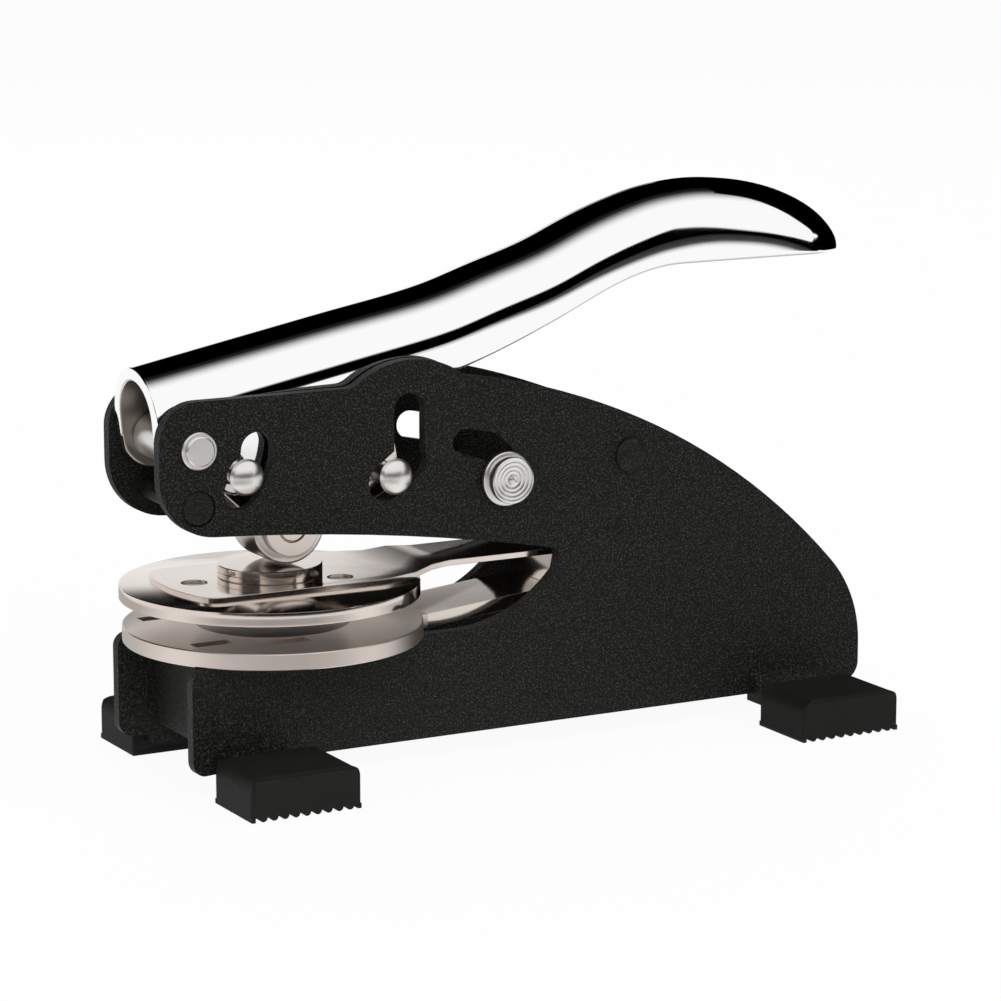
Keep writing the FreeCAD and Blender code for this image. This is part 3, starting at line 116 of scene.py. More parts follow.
# %% A tree that adds nodes
class Tree:
    def __init__(self, nodes):
        self.nodes = nodes

    def node(self, kind, settings=None, inputs=None, output=0):
        """Adds a node: its settings first, then the values or links of its sockets."""
        made = self.nodes.nodes.new(kind)
        for name, setting in (settings or {}).items():
            if name == "stops":
                ramp = made.color_ramp.elements
                while len(ramp) < len(setting):
                    ramp.new(0.5)
                for stop, (place, level) in zip(ramp, setting):
                    stop.position = place
                    stop.color = (level, level, level, 1.0)
            else:
                setattr(made, name, setting)
        for name, given in (inputs or {}).items():
            if isinstance(given, Value):
                self.nodes.links.new(given.socket, made.inputs[name])
            else:
                made.inputs[name].default_value = given
        return Value(self, made.outputs[output]) if made.outputs else made


# %% [markdown]
# ## The finishes
# Each material is one Principled shader. What varies over a surface drives only its colour,
# roughness and a Bump node, and all patterns read Object coordinates, which are metres here, so
# a noise of scale 1000 has grains of about a millimetre.

# %% A material with one Principled shader
def plain(colour):
    return (*colour, 1.0)


class Finish(Tree):
    def __init__(self, name, metallic=0.0, gloss=0.5):
        self.material = bpy.data.materials.new(f"{name}_finish")
        self.material.use_nodes = True
        super().__init__(self.material.node_tree)
        self.shader = self.nodes.nodes["Principled BSDF"]
        self.shader.inputs["Metallic"].default_value = metallic
        self.shader.inputs["Specular IOR Level"].default_value = gloss
        self.place = self.node("ShaderNodeTexCoord").out("Object")

    def noise(self, scale, detail=3.0, stretch=(1.0, 1.0, 1.0)):
        """Soft random grain; stretch above 1 along an axis makes it finer that way."""
        vector = self.node("ShaderNodeMapping", None, {"Vector": self.place, "Scale": stretch})
        return self.node("ShaderNodeTexNoise", None,
                         {"Vector": vector, "Scale": scale, "Detail": detail})

    def ramp(self, value, stops):
        return self.node("ShaderNodeValToRGB", {"stops": stops}, {"Fac": value})

    def colour(self, mask, first, second):
        mixed = self.node("ShaderNodeMix", {"data_type": "RGBA"},
                          {"Factor": mask, 6: plain(first), 7: plain(second)}, 2)
        self.nodes.links.new(mixed.socket, self.shader.inputs["Base Color"])

    def roughness(self, value):
        self.nodes.links.new(value.socket, self.shader.inputs["Roughness"])

    def bump(self, height, depth, strength=1.0):
        bumped = self.node("ShaderNodeBump", None,
                           {"Height": height, "Distance": depth, "Strength": strength})
        self.nodes.links.new(bumped.socket, self.shader.inputs["Normal"])


# %% Black powder coat
def black_powder_coat():
    """Sprayed powder melts into small rounded grains, so it glitters softly under a lamp; the
    lighter specks in its colour are painted glints.
    """
    finish = Finish("black_powder_coat", gloss=0.17)
    grain = finish.noise(1300.0, 2.0)
    patches = finish.noise(60.0)
    glint_specks = finish.ramp(finish.noise(2900.0, 1.0), [(0.52, 0.0), (0.70, 1.0)])
    # Specks of lighter base colour are painted glints; the same specks also go into the bump as
    # grains.
    finish.colour(glint_specks, (0.0034, 0.0036, 0.0029), (0.046, 0.045, 0.039))
    finish.roughness(0.40 + patches * 0.12 + grain * 0.1)
    finish.bump(grain + glint_specks * 0.35, 0.0003, 0.9)
    return finish.material


# %% Smooth black paint of the rivets
def black_rivet():
    """Thinner paint over a turned head: the same black with less grain, and lighter specks in its
    colour that are painted glints.
    """
    finish = Finish("black_rivet", gloss=0.2)
    grain = finish.noise(1300.0, 2.0)
    glint_specks = finish.ramp(finish.noise(2900.0, 1.0), [(0.52, 0.0), (0.75, 1.0)])
    # Specks of lighter base colour are painted glints.
    finish.colour(glint_specks, (0.0042, 0.0044, 0.0037), (0.034, 0.033, 0.029))
    finish.roughness(0.40 + grain * 0.18)
    finish.bump(grain, 0.0002, 0.8)
    return finish.material


# %% Bright chrome of turned pieces
def bright_chrome():
    """Plated turned steel: nearly a mirror, with faint tool marks and a slight warmth."""
    finish = Finish("bright_chrome", metallic=1.0)
    marks = finish.noise(900.0, 2.0, (1.0, 6.0, 1.0))
    smudge = finish.noise(140.0)
    finish.colour(smudge, (0.86, 0.84, 0.81), (0.74, 0.72, 0.69))
    finish.roughness(0.25 + smudge * 0.08)
    finish.bump(marks, 0.000006, 0.4)
    return finish.material


# %% Mirror chrome of the handle
def mirror_chrome():
    """A polished casting: a mirror outside; the hollow keeps the dull, rougher skin of the mould,
    and its darker colour there is painted shade of the recess.
    The hollow is what lies close to the arch's axis, which climbs evenly as far as the grip."""
    axis_height, axis_climb = 0.0878, 0.192
    hollow_reach, hollow_rear = 0.0078, 0.045
    finish = Finish("mirror_chrome", metallic=1.0)
    wave = finish.noise(45.0, 1.0)
    place = finish.node("ShaderNodeSeparateXYZ", None, {"Vector": finish.place})
    forward, across, height = place.out("X"), place.out("Y"), place.out("Z")
    above = (height - forward * axis_climb - axis_height).math("MAXIMUM", 0.0)
    reach = (across * across + above * above).math("SQRT")
    hollow = reach.math("LESS_THAN", hollow_reach) * forward.math("LESS_THAN", hollow_rear)
    # The hollow's darker colour is painted shade of the recess; its higher roughness is the real
    # dull skin.
    finish.colour(hollow, (0.95, 0.95, 0.945), (0.40, 0.365, 0.33))
    wipe = finish.noise(260.0, 4.0, (1.0, 3.0, 3.0))
    finish.roughness(0.03 + wipe * 0.04 + hollow * 0.33)
    finish.bump(wave, 0.00005, 0.25)
    return finish.material


# %% Satin nickel of the dies and arms
def satin_nickel():
    """Rolled steel under nickel: warm, with a fine grain along the strip, duller on the lower
    die plate, which takes the blows."""
    finish = Finish("satin_nickel", metallic=1.0)
    grain = finish.noise(1600.0, 3.0, (0.12, 1.0, 1.0))
    cloud = finish.noise(55.0)
    finish.colour(cloud, (0.78, 0.70, 0.64), (0.66, 0.585, 0.53))
    between_low, between_high, disc_rear = 0.031, 0.034, -0.02
    place = finish.node("ShaderNodeSeparateXYZ", None, {"Vector": finish.place})
    low = finish.node("ShaderNodeMapRange", None,
                      {"Value": place.out("Z"), 1: between_low, 2: between_high, 3: 0.2, 4: 0.0})
    worn = low * place.out("X").math("LESS_THAN", disc_rear)
    finish.roughness(0.07 + grain * 0.05 + cloud * 0.05 + worn)
    finish.bump(grain, 0.000006, 0.15)
    return finish.material


# %% Ground steel of the dies
def engraved_steel():
    finish = Finish("engraved_steel", metallic=1.0)
    grain = finish.noise(2000.0, 3.0, (1.0, 0.15, 1.0))
    finish.colour(grain, (0.50, 0.48, 0.46), (0.36, 0.345, 0.33))
    finish.roughness(0.30 + grain * 0.15)
    finish.bump(grain, 0.00002, 0.5)
    return finish.material


# %% Rubber of the feet
def black_rubber():
    """Moulded rubber: matt, dark grey rather than black, with a little bloom."""
    finish = Finish("black_rubber", gloss=0.22)
    bloom = finish.noise(120.0)
    skin = finish.noise(2600.0, 2.0)
    finish.colour(bloom, (0.0062, 0.0062, 0.0056), (0.012, 0.012, 0.0108))
    finish.roughness(0.62 + skin * 0.18)
    finish.bump(skin, 0.00006, 0.5)
    return finish.material


# %% Make the finishes
FINISHES = {make.__name__: make() for make in (
    black_powder_coat, black_rivet, bright_chrome, mirror_chrome,
    satin_nickel, engraved_steel, black_rubber)}
print("finishes:", ", ".join(FINISHES))

# %% [markdown]
# ## Handing a finished piece to the frame
# A new piece rides on the body of the CAD node that it stands for and takes that node's slot. The
# record says both, so one function does it for every piece.

# %% Dress a node with a finished mesh
SLOTS = {part["node"]: part["material_slot"] for part in frame["record"]["subparts"]}
BODIES = {node: body for body, members in frame["record"]["behaviour"]["bodies"].items()
          for node in members}


def dress(mesh, node, smooth_angle=35.0):
    """Turns a mesh into the shown piece of a CAD node."""
    mesh.materials.clear()
    mesh.materials.append(FINISHES[SLOTS[node]])
    mesh.shade_smooth()
    mesh.set_sharp_from_angle(angle=math.radians(smooth_angle))
    piece = bpy.data.objects.new(f"{node}_finished", mesh)
    bpy.context.scene.collection.objects.link(piece)
    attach(piece, BODIES[node])
    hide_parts(node)
    return piece


# %% [markdown]
# ## Sheet-metal pieces
# The side plates, the web, the arms and the cheeks have the right shape already, but their CAD
# meshes are loose triangles with knife-sharp edges. A copy is merged, its flat faces are joined
# again into whole faces, and a small Bevel breaks the edges so that they catch the light as
# tumbled or painted sheet does.

# %% Break the edges of a CAD piece
def sheet_metal(node, edge, segments=2):
    mesh = frame["nodes"][node].data.copy()
    work = bmesh.new()
    work.from_mesh(mesh)
    bmesh.ops.remove_doubles(work, verts=work.verts, dist=0.002 * MM)
    bmesh.ops.dissolve_limit(work, angle_limit=math.radians(0.4), verts=work.verts,
                             edges=work.edges, delimit=set())
    work.to_mesh(mesh)
    work.free()
    if "custom_normal" in mesh.attributes:
        mesh.attributes.remove(mesh.attributes["custom_normal"])
    piece = dress(mesh, node)
    bevel = piece.modifiers.new("broken_edges", "BEVEL")
    bevel.width = edge * MM
    bevel.segments = segments
    bevel.limit_method = "ANGLE"
    bevel.angle_limit = math.radians(35.0)
    bevel.harden_normals = True
    bevel.use_clamp_overlap = True
    return piece


for node, edge in (("near_side_plate", 0.7), ("far_side_plate", 0.7), ("front_web", 0.3),
                   ("near_press_cheek", 0.15), ("far_press_cheek", 0.15),
                   ("lower_die_plate", 0.2), ("upper_die_arm", 0.15), ("die_arm_spacer", 0.2)):
    piece = sheet_metal(node, edge)
    print(piece.name, len(piece.data.polygons), "faces before the bevel")

# %% [markdown]
# ## A lathe in Geometry Nodes
# More than half of the pieces are turned: rivets, pins, the knob, the roller, the dies. On a lathe
# a tool follows a profile while the bar spins. Here the object's own mesh is that profile, a chain
# of points with X as the radius and Z as the height, and the tree sweeps it round a circle.
# Profile points on the axis meet in one pole, which Merge by Distance closes.

# %% The lathe's tree
def add_socket(nodes, name, kind, value=None, way="INPUT"):
    socket = nodes.interface.new_socket(name=name, in_out=way, socket_type=f"NodeSocket{kind}")
    if value is not None:
        socket.default_value = value
    return socket.identifier


def lathe_tree():
    nodes = bpy.data.node_groups.new("lathe", "GeometryNodeTree")
    add_socket(nodes, "Geometry", "Geometry")
    steps_socket = add_socket(nodes, "Steps", "Int", 64)
    finish_socket = add_socket(nodes, "Finish", "Material")
    add_socket(nodes, "Geometry", "Geometry", way="OUTPUT")
    tree = Tree(nodes)
    given = tree.node("NodeGroupInput")
    profile = tree.node("GeometryNodeMeshToCurve", None, {"Mesh": given.out("Geometry")})
    rail_radius = 1.0
    profile = tree.node("GeometryNodeTransform", None,
                        {"Geometry": profile, "Translation": (-rail_radius, 0.0, 0.0)})
    profile = tree.node("GeometryNodeTransform", None,
                        {"Geometry": profile, "Rotation": (math.pi / 2, 0.0, 0.0)})
    rail = tree.node("GeometryNodeCurvePrimitiveCircle", None,
                     {"Resolution": given.out("Steps"), "Radius": rail_radius})
    swept = tree.node("GeometryNodeCurveToMesh", None, {"Curve": rail, "Profile Curve": profile})
    closed = tree.node("GeometryNodeMergeByDistance", None,
                       {"Geometry": swept, "Distance": 0.0005 * MM})
    whole = tree.node("GeometryNodeRealizeInstances", None, {"Geometry": closed})
    done = tree.node("GeometryNodeSetMaterial", None,
                     {"Geometry": whole, "Material": given.out("Finish")})
    tree.node("NodeGroupOutput", None, {"Geometry": done})
    return nodes, steps_socket, finish_socket


LATHE, LATHE_STEPS, LATHE_FINISH = lathe_tree()


# %% Run a tree and keep its result
def run_tree(name, base, nodes, values):
    """Evaluates a Geometry Nodes tree on a base mesh and returns the result as a plain mesh."""
    holder = bpy.data.objects.new(name, base)
    bpy.context.scene.collection.objects.link(holder)
    modifier = holder.modifiers.new("tree", "NODES")
    modifier.node_group = nodes
    for identifier, value in values.items():
        modifier[identifier] = value
    holder.update_tag()
    view = bpy.context.evaluated_depsgraph_get()
    result = bpy.data.meshes.new_from_object(holder.evaluated_get(view))
    result.name = name
    holder.modifiers.remove(modifier)
    bpy.data.objects.remove(holder)
    return result


# %% Turn one piece
UPRIGHT = Matrix.Identity(4)
ACROSS = Matrix.Rotation(math.radians(90.0), 4, "X")


def turned(node, profile, axis=ACROSS, steps=72, smooth_angle=30.0):
    """A turned piece: profile is a list of (radius, height) in mm, from pole to pole, heights
    from the middle of the frame (across) or from the desk (upright)."""
    base = bpy.data.meshes.new(f"{node}_profile")
    points = [(radius * MM, 0.0, height * MM) for radius, height in profile]
    base.from_pydata(points, [(n, n + 1) for n in range(len(points) - 1)], [])
    mesh = run_tree(f"{node}_turned", base, LATHE,
                    {LATHE_STEPS: steps, LATHE_FINISH: FINISHES[SLOTS[node]]})
    low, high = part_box(node)
    middle = (low + high) / 2
    if axis is ACROSS:
        mesh.transform(Matrix.Translation((middle.x, 0.0, middle.z)) @ axis)
    else:
        mesh.transform(Matrix.Translation((middle.x, middle.y, 0.0)))
    work = bmesh.new()
    work.from_mesh(mesh)
    bmesh.ops.recalc_face_normals(work, faces=work.faces)
    if work.calc_volume(signed=True) < 0:
        bmesh.ops.reverse_faces(work, faces=work.faces)
    work.to_mesh(mesh)
    work.free()
    return dress(mesh, node, smooth_angle)


print("the lathe is ready")

# %% [markdown]
# ## Pins, rivets and sleeves across the frame
# They all lie across the two side plates, so their heights count from the middle of the frame:
# the plates' outer faces are at 13.5 mm.

# %% Sizes across the frame
plate_outer = 13.5
head_gap = 0.3


def both_ends(profile):
    """The same head at the far end: the profile mirrored."""
    return [(radius, -height) for radius, height in profile] + list(reversed(profile))


def bent(start, end, middle, count=6):
    """Points of a round shoulder from start to end, round the given middle."""
    first = math.atan2(start[1] - middle[1], start[0] - middle[0])
    last = math.atan2(end[1] - middle[1], end[0] - middle[0])
    reach = math.hypot(start[0] - middle[0], start[1] - middle[1])
    reach_end = math.hypot(end[0] - middle[0], end[1] - middle[1])
    points = []
    for step in range(count + 1):
        share = step / count
        angle = first + (last - first) * share
        length = reach + (reach_end - reach) * share
        points.append((middle[0] + length * math.cos(angle), middle[1] + length * math.sin(angle)))
    return points


# %% Domed pins of the press lever
def domed_head(seat, radius, rise, rim):
    """A low dome over a short upright rim."""
    reach = (radius ** 2 + (rise - rim) ** 2) / (2 * (rise - rim))
    centre = seat + rise - reach
    edge = math.asin(radius / reach)
    dome = [(reach * math.sin(edge * n / 10), centre + reach * math.cos(edge * n / 10))
            for n in range(10)]
    return dome + [(radius - 0.18, seat + rim + 0.05), (radius, seat + rim - 0.15), (radius, seat)]


for node in ("press_pin", "fulcrum_pin"):
    head = domed_head(plate_outer + head_gap, 3.6, 1.9, 0.4)
    turned(node, both_ends(head + [(2.2, plate_outer + head_gap)]))

# %% The handle's pivot rivet
pivot_top = plate_outer + 1.6
pivot_step = plate_outer + 0.96
pivot_head = [(0.0, pivot_top), (2.7, pivot_top), (2.95, pivot_top - 0.2),
              (3.0, pivot_step), (3.5, pivot_step), (3.7, pivot_step - 0.2),
              (3.7, plate_outer + 0.03), (3.0, plate_outer + 0.03)]
turned("handle_pivot_rivet", both_ends(pivot_head))

# %% The black rivets
flush_head = [(0.0, plate_outer), (3.1, plate_outer), (3.5, plate_outer - 0.4),
              (3.5, 11.03), (2.0, 11.03)]
turned("front_cross_rivet", both_ends(flush_head))
rear_head = [(0.0, plate_outer + 1.3), (1.9, plate_outer + 1.3), (2.3, plate_outer + 1.24),
             (3.3, plate_outer + 0.82), (3.5, plate_outer + 0.6), (3.5, plate_outer + 0.03),
             (2.5, plate_outer + 0.03)]
turned("rear_cross_rivet", both_ends(rear_head))

# %% Sleeves, axle and rod
def sleeve_profile(bore, outside, half, edge=0.25):
    """A tube's section is a closed ring, so it has no poles: it ends where it began."""
    return [(bore, -half), (outside - edge, -half), (outside, -half + edge),
            (outside, half - edge), (outside - edge, half), (bore, half), (bore, -half)]


def rod_profile(radius, low, high, edge=0.25):
    return [(0.0, low), (radius - edge, low), (radius, low + edge), (radius, high - edge),
            (radius - edge, high), (0.0, high)]


turned("rear_distance_sleeve", sleeve_profile(2.53, 4.0, 10.97))
turned("handle_pivot_sleeve", sleeve_profile(3.06, 4.6, 7.2))
turned("roller_axle", rod_profile(3.0, -7.2, 7.2, 0.35))
turned("lock_rod", rod_profile(2.2, -15.4, 13.8))
washer_near, washer_far = 13.8, 14.8
washer_profile = [(2.23, washer_far), (4.3, washer_far), (4.6, washer_far - 0.25),
                  (4.6, washer_near + 0.25), (4.3, washer_near), (2.23, washer_near),
                  (2.23, washer_far)]
turned("lock_retaining_washer", [(radius, -height) for radius, height in washer_profile])

# %% [markdown]
# ## The roller and the knob
# The roller's ends are faced with a shallow ring. The knob is the piece a hand touches: a
# flange, a cap and a dished face with the fine rings that a facing tool leaves. Those rings are
# real steps in the profile here, because light runs round them.

# %% The roller
roller_half = 5.6
roller_bore = 3.06
face_depth = 0.3
roller_end = [(roller_bore, roller_half - face_depth), (5.6, roller_half - face_depth),
              (5.9, roller_half), (7.15, roller_half), (7.45, roller_half - 0.08),
              (7.68, roller_half - 0.3), (7.75, roller_half - 0.6)]
turned("roller", [(radius, -height) for radius, height in roller_end]
       + list(reversed(roller_end)) + [(roller_bore, face_depth - roller_half)], steps=96)

# %% The knob
knob_seat = plate_outer + head_gap
knob_top = knob_seat + 3.4
flange = 5.5
cap = 4.75
ring_count = 4
ring_width = 0.85
ring_fall = 0.08
knob_profile = [(0.0, knob_seat), (flange - 0.2, knob_seat), (flange, knob_seat + 0.2),
                (flange, knob_seat + 1.0), (flange - 0.2, knob_seat + 1.2),
                (cap, knob_seat + 1.3), (cap, knob_top - 0.35), (cap - 0.1, knob_top - 0.1),
                (cap - 0.35, knob_top)]
for ring in range(ring_count):
    outer = 4.2 - ring * ring_width
    level = knob_top - (ring + 1) * ring_fall
    knob_profile += [(outer, level - 0.015), (outer - 0.5, level - 0.035),
                     (outer - 0.6, level - 0.01)]
knob_profile += [(0.62, knob_top - 0.72), (0.55, knob_top - 0.5), (0.3, knob_top - 0.42),
                 (0.0, knob_top - 0.4)]
turned("lock_knob", knob_profile, steps=96, smooth_angle=24.0)

# %% [markdown]
# ## The round dies
# Two flat plates 60 mm across, turned from bar: polished rims, sharp but broken edges. The
# pressure button on top of the arm is two washers, which shows as a fine line round its side.

# %% Plates, dies and button
def disc_profile(radius, low, high, edge=0.15):
    """A flat disc from low to high with both edges rounded."""
    flat = radius - edge
    lower_round = bent((flat, low), (radius, low + edge), (flat, low + edge), 3)
    upper_round = bent((radius, high - edge), (flat, high), (flat, high - edge), 3)
    return [(0.0, low)] + lower_round + upper_round + [(0.0, high)]


plate_radius = 29.99
die_radius = 15.5
upper_plate_low, upper_plate_high = 35.28, 38.07
upper_die_face = 34.18
lower_die_seat, lower_die_face = 28.9, 29.9
turned("upper_die_plate", disc_profile(plate_radius, upper_plate_low, upper_plate_high),
       UPRIGHT, 160)
turned("upper_die", disc_profile(die_radius, upper_die_face, upper_plate_low), UPRIGHT, 128)
turned("lower_die", disc_profile(die_radius, lower_die_seat, lower_die_face, 0.02), UPRIGHT, 128)

button = 10.5
groove = 0.14
button_low, button_line, button_high = 39.27, 40.5, 41.87
turned("pressure_button", [
    (0.0, button_low), (button - 0.2, button_low), (button, button_low + 0.2),
    (button, button_line - 0.12), (button - groove, button_line - 0.04),
    (button - groove, button_line + 0.04), (button, button_line + 0.12),
    (button, button_high - 0.15), (button - 0.15, button_high), (0.0, button_high)], UPRIGHT, 128)
print("the dies stand", round(upper_die_face - lower_die_face, 2), "mm apart at rest")

# %% [markdown]
# ## Rivets placed by Geometry Nodes
# The arm is held on its die plate by three sunk rivets, and the die set's tails by two with
# heads. One small tree puts a rivet on each point of a mesh: the points say where, the sockets
# say how big.

# %% The rivets' tree
def rivets_tree():
    nodes = bpy.data.node_groups.new("rivets", "GeometryNodeTree")
    add_socket(nodes, "Geometry", "Geometry")
    names = {}
    for name in ("Shank radius", "Shank height", "Head radius", "Head height"):
        names[name] = add_socket(nodes, name, "Float", 0.001)
    names["Finish"] = add_socket(nodes, "Finish", "Material")
    add_socket(nodes, "Geometry", "Geometry", way="OUTPUT")
    tree = Tree(nodes)
    given = tree.node("NodeGroupInput")
    shank_height = given.out("Shank height")
    head_height = given.out("Head height")
    shank = tree.node("GeometryNodeMeshCylinder", None,
                      {"Vertices": 40, "Radius": given.out("Shank radius"), "Depth": shank_height})
    lift = tree.node("ShaderNodeCombineXYZ", None, {"Z": shank_height * 0.5})
    shank = tree.node("GeometryNodeTransform", None, {"Geometry": shank, "Translation": lift})
    head_radius = given.out("Head radius")
    head = tree.node("GeometryNodeMeshCone", None,
                     {"Vertices": 40, "Side Segments": 1, "Radius Bottom": head_radius,
                      "Radius Top": head_radius - head_height * 0.5, "Depth": head_height})
    rise = tree.node("ShaderNodeCombineXYZ", None, {"Z": shank_height})
    head = tree.node("GeometryNodeTransform", None, {"Geometry": head, "Translation": rise})
    rivet = tree.node("GeometryNodeJoinGeometry")
    for part in (shank, head):
        nodes.links.new(part.socket, rivet.socket.node.inputs["Geometry"])
    placed = tree.node("GeometryNodeInstanceOnPoints", None,
                       {"Points": given.out("Geometry"), "Instance": rivet})
    whole = tree.node("GeometryNodeRealizeInstances", None, {"Geometry": placed})
    done = tree.node("GeometryNodeSetMaterial", None,
                     {"Geometry": whole, "Material": given.out("Finish")})
    tree.node("NodeGroupOutput", None, {"Geometry": done})
    return nodes, names


RIVETS, RIVET_SOCKETS = rivets_tree()


# %% Set the rivets
def set_rivets(node, places, bottom, shank, head):
    """places: (x from the die axis, y) in mm; shank and head: (radius, height) in mm."""
    base = bpy.data.meshes.new(f"{node}_places")
    base.from_pydata([(die_axis + x * MM, y * MM, bottom * MM) for x, y in places], [], [])
    mesh = run_tree(f"{node}_set", base, RIVETS, {
        RIVET_SOCKETS["Shank radius"]: shank[0] * MM, RIVET_SOCKETS["Shank height"]: shank[1] * MM,
        RIVET_SOCKETS["Head radius"]: head[0] * MM, RIVET_SOCKETS["Head height"]: head[1] * MM,
        RIVET_SOCKETS["Finish"]: FINISHES[SLOTS[node]]})
    return dress(mesh, node, 30.0)


button_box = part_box("pressure_button")
die_axis = (button_box[0].x + button_box[1].x) / 2
set_rivets("upper_arm_rivets", [(-16.4, 0.0), (11.2, -9.0), (11.2, 9.0)], upper_plate_high,
           (2.0, 0.4), (2.4, 0.4))
tail_low = 29.2
set_rivets("die_set_rivets", [(66.5, -4.6), (66.5, 4.6)], tail_low, (1.6, 11.17), (2.8, 1.1))
print("die axis at", round(die_axis / MM, 2), "mm")

# %% [markdown]
# ## Rubber feet
# A foot is a moulded block pushed over a steel tab, with treads across its sole. The treads
# repeat, so Geometry Nodes lay them out: a block stands on a row of round bars, one per tread,
# between two end ribs, with a plain strip beside the side plate.

# %% The foot's tree
def foot_tree():
    nodes = bpy.data.node_groups.new("foot", "GeometryNodeTree")
    add_socket(nodes, "Geometry", "Geometry")
    names = {}
    for name in ("Length", "Width", "Height", "Tread depth", "Tread radius", "Pitch", "Rib",
                 "Strip"):
        names[name] = add_socket(nodes, name, "Float", 0.01)
    names["Treads"] = add_socket(nodes, "Treads", "Int", 9)
    names["Finish"] = add_socket(nodes, "Finish", "Material")
    add_socket(nodes, "Geometry", "Geometry", way="OUTPUT")
    tree = Tree(nodes)
    given = tree.node("NodeGroupInput")
    length, width, strip = given.out("Length"), given.out("Width"), given.out("Strip")
    depth, pitch, rib = given.out("Tread depth"), given.out("Pitch"), given.out("Rib")

    def box(sides, middle):
        size = tree.node("ShaderNodeCombineXYZ", None, dict(zip("XYZ", sides)))
        place = tree.node("ShaderNodeCombineXYZ", None, middle)
        cube = tree.node("GeometryNodeMeshCube", None, {"Size": size})
        return tree.node("GeometryNodeTransform", None, {"Geometry": cube, "Translation": place})

    tall = given.out("Height") - depth
    block = box((length, width, tall), {"Z": depth + tall * 0.5})
    sole = depth * 1.1
    hair = 0.1 * MM
    plain_strip = box((length - hair, strip, sole),
                      {"Y": (width - strip) * 0.5, "Z": sole * 0.5})
    end_ribs = [box((rib, width - hair, sole), {"X": (length - rib) * hand, "Z": sole * 0.5})
                for hand in (-0.4995, 0.4995)]

    run = width - strip * 0.5
    bar = tree.node("GeometryNodeMeshCylinder", None,
                    {"Vertices": 24, "Radius": 1.0, "Depth": run})
    bar = tree.node("GeometryNodeTransform", None,
                    {"Geometry": bar, "Rotation": (math.pi / 2, 0.0, 0.0)})
    stretch = tree.node("ShaderNodeCombineXYZ", None,
                        {"X": given.out("Tread radius"), "Y": 1.0, "Z": depth})
    bar = tree.node("GeometryNodeTransform", None, {"Geometry": bar, "Scale": stretch})
    count = given.out("Treads")
    first = tree.node("ShaderNodeCombineXYZ", None,
                      {"X": (count - 1) * pitch * -0.5, "Y": strip * -0.2499, "Z": depth})
    step = tree.node("ShaderNodeCombineXYZ", None, {"X": pitch})
    line = tree.node("GeometryNodeMeshLine", {"mode": "OFFSET"},
                     {"Count": count, "Start Location": first, "Offset": step})
    treads = tree.node("GeometryNodeInstanceOnPoints", None, {"Points": line, "Instance": bar})
    foot = tree.node("GeometryNodeJoinGeometry")
    for part in (treads, plain_strip, *end_ribs, block):
        nodes.links.new(part.socket, foot.socket.node.inputs["Geometry"])
    whole = tree.node("GeometryNodeRealizeInstances", None, {"Geometry": foot})
    done = tree.node("GeometryNodeSetMaterial", None,
                     {"Geometry": whole, "Material": given.out("Finish")})
    tree.node("NodeGroupOutput", None, {"Geometry": done})
    return nodes, names


FOOT, FOOT_SOCKETS = foot_tree()


# %% Mould the four feet
def rubber_foot(node):
    low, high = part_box(node)
    size = high - low
    base = bpy.data.meshes.new(f"{node}_base")
    base.from_pydata([(0.0, 0.0, 0.0)], [], [])
    mesh = run_tree(f"{node}_moulded", base, FOOT, {
        FOOT_SOCKETS["Length"]: size.x, FOOT_SOCKETS["Width"]: size.y,
        FOOT_SOCKETS["Height"]: size.z, FOOT_SOCKETS["Tread depth"]: 0.9 * MM,
        FOOT_SOCKETS["Tread radius"]: 0.85 * MM, FOOT_SOCKETS["Pitch"]: 2.3 * MM,
        FOOT_SOCKETS["Rib"]: 0.8 * MM, FOOT_SOCKETS["Strip"]: 3.0 * MM,
        FOOT_SOCKETS["Treads"]: 9, FOOT_SOCKETS["Finish"]: FINISHES["black_rubber"]})
    middle = (low + high) / 2
    turn = Matrix.Rotation(math.pi, 4, "Z") if middle.y > 0 else Matrix.Identity(4)
    mesh.transform(Matrix.Translation((middle.x, middle.y, 0.0)) @ turn)
    weights = mesh.attributes.new("bevel_weight_edge", "FLOAT", "EDGE")
    for edge in mesh.edges:
        start, end = [mesh.vertices[index].co for index in edge.vertices]
        crest = min(start.z, end.z) > size.z - 0.01 * MM
        upright = abs(end.z - start.z) > size.z / 2
        across = abs(end.y - start.y) > size.y / 2
        if crest and across:
            weights.data[edge.index].value = 1.0
        elif crest or upright:
            weights.data[edge.index].value = 0.25
    piece = dress(mesh, node)
    bevel = piece.modifiers.new("moulded_edges", "BEVEL")
    bevel.width = 3.0 * MM
    bevel.segments = 5
    bevel.limit_method = "WEIGHT"
    return piece


for node in ("front_near_foot", "front_far_foot", "rear_near_foot", "rear_far_foot"):
    print(rubber_foot(node).name)

# %% [markdown]
# ## The handle
# The handle is one polished casting: an arch open below, which rises from the pivot, swings up
# and ends in a rounded grip. It could be carved with booleans, but a mirror shows every facet,
# so it is built as rings instead: at each station along its length one closed ring runs over
# the outside, round the lower lip, up the hollow and back. Rings with equal points join into
# clean quads.

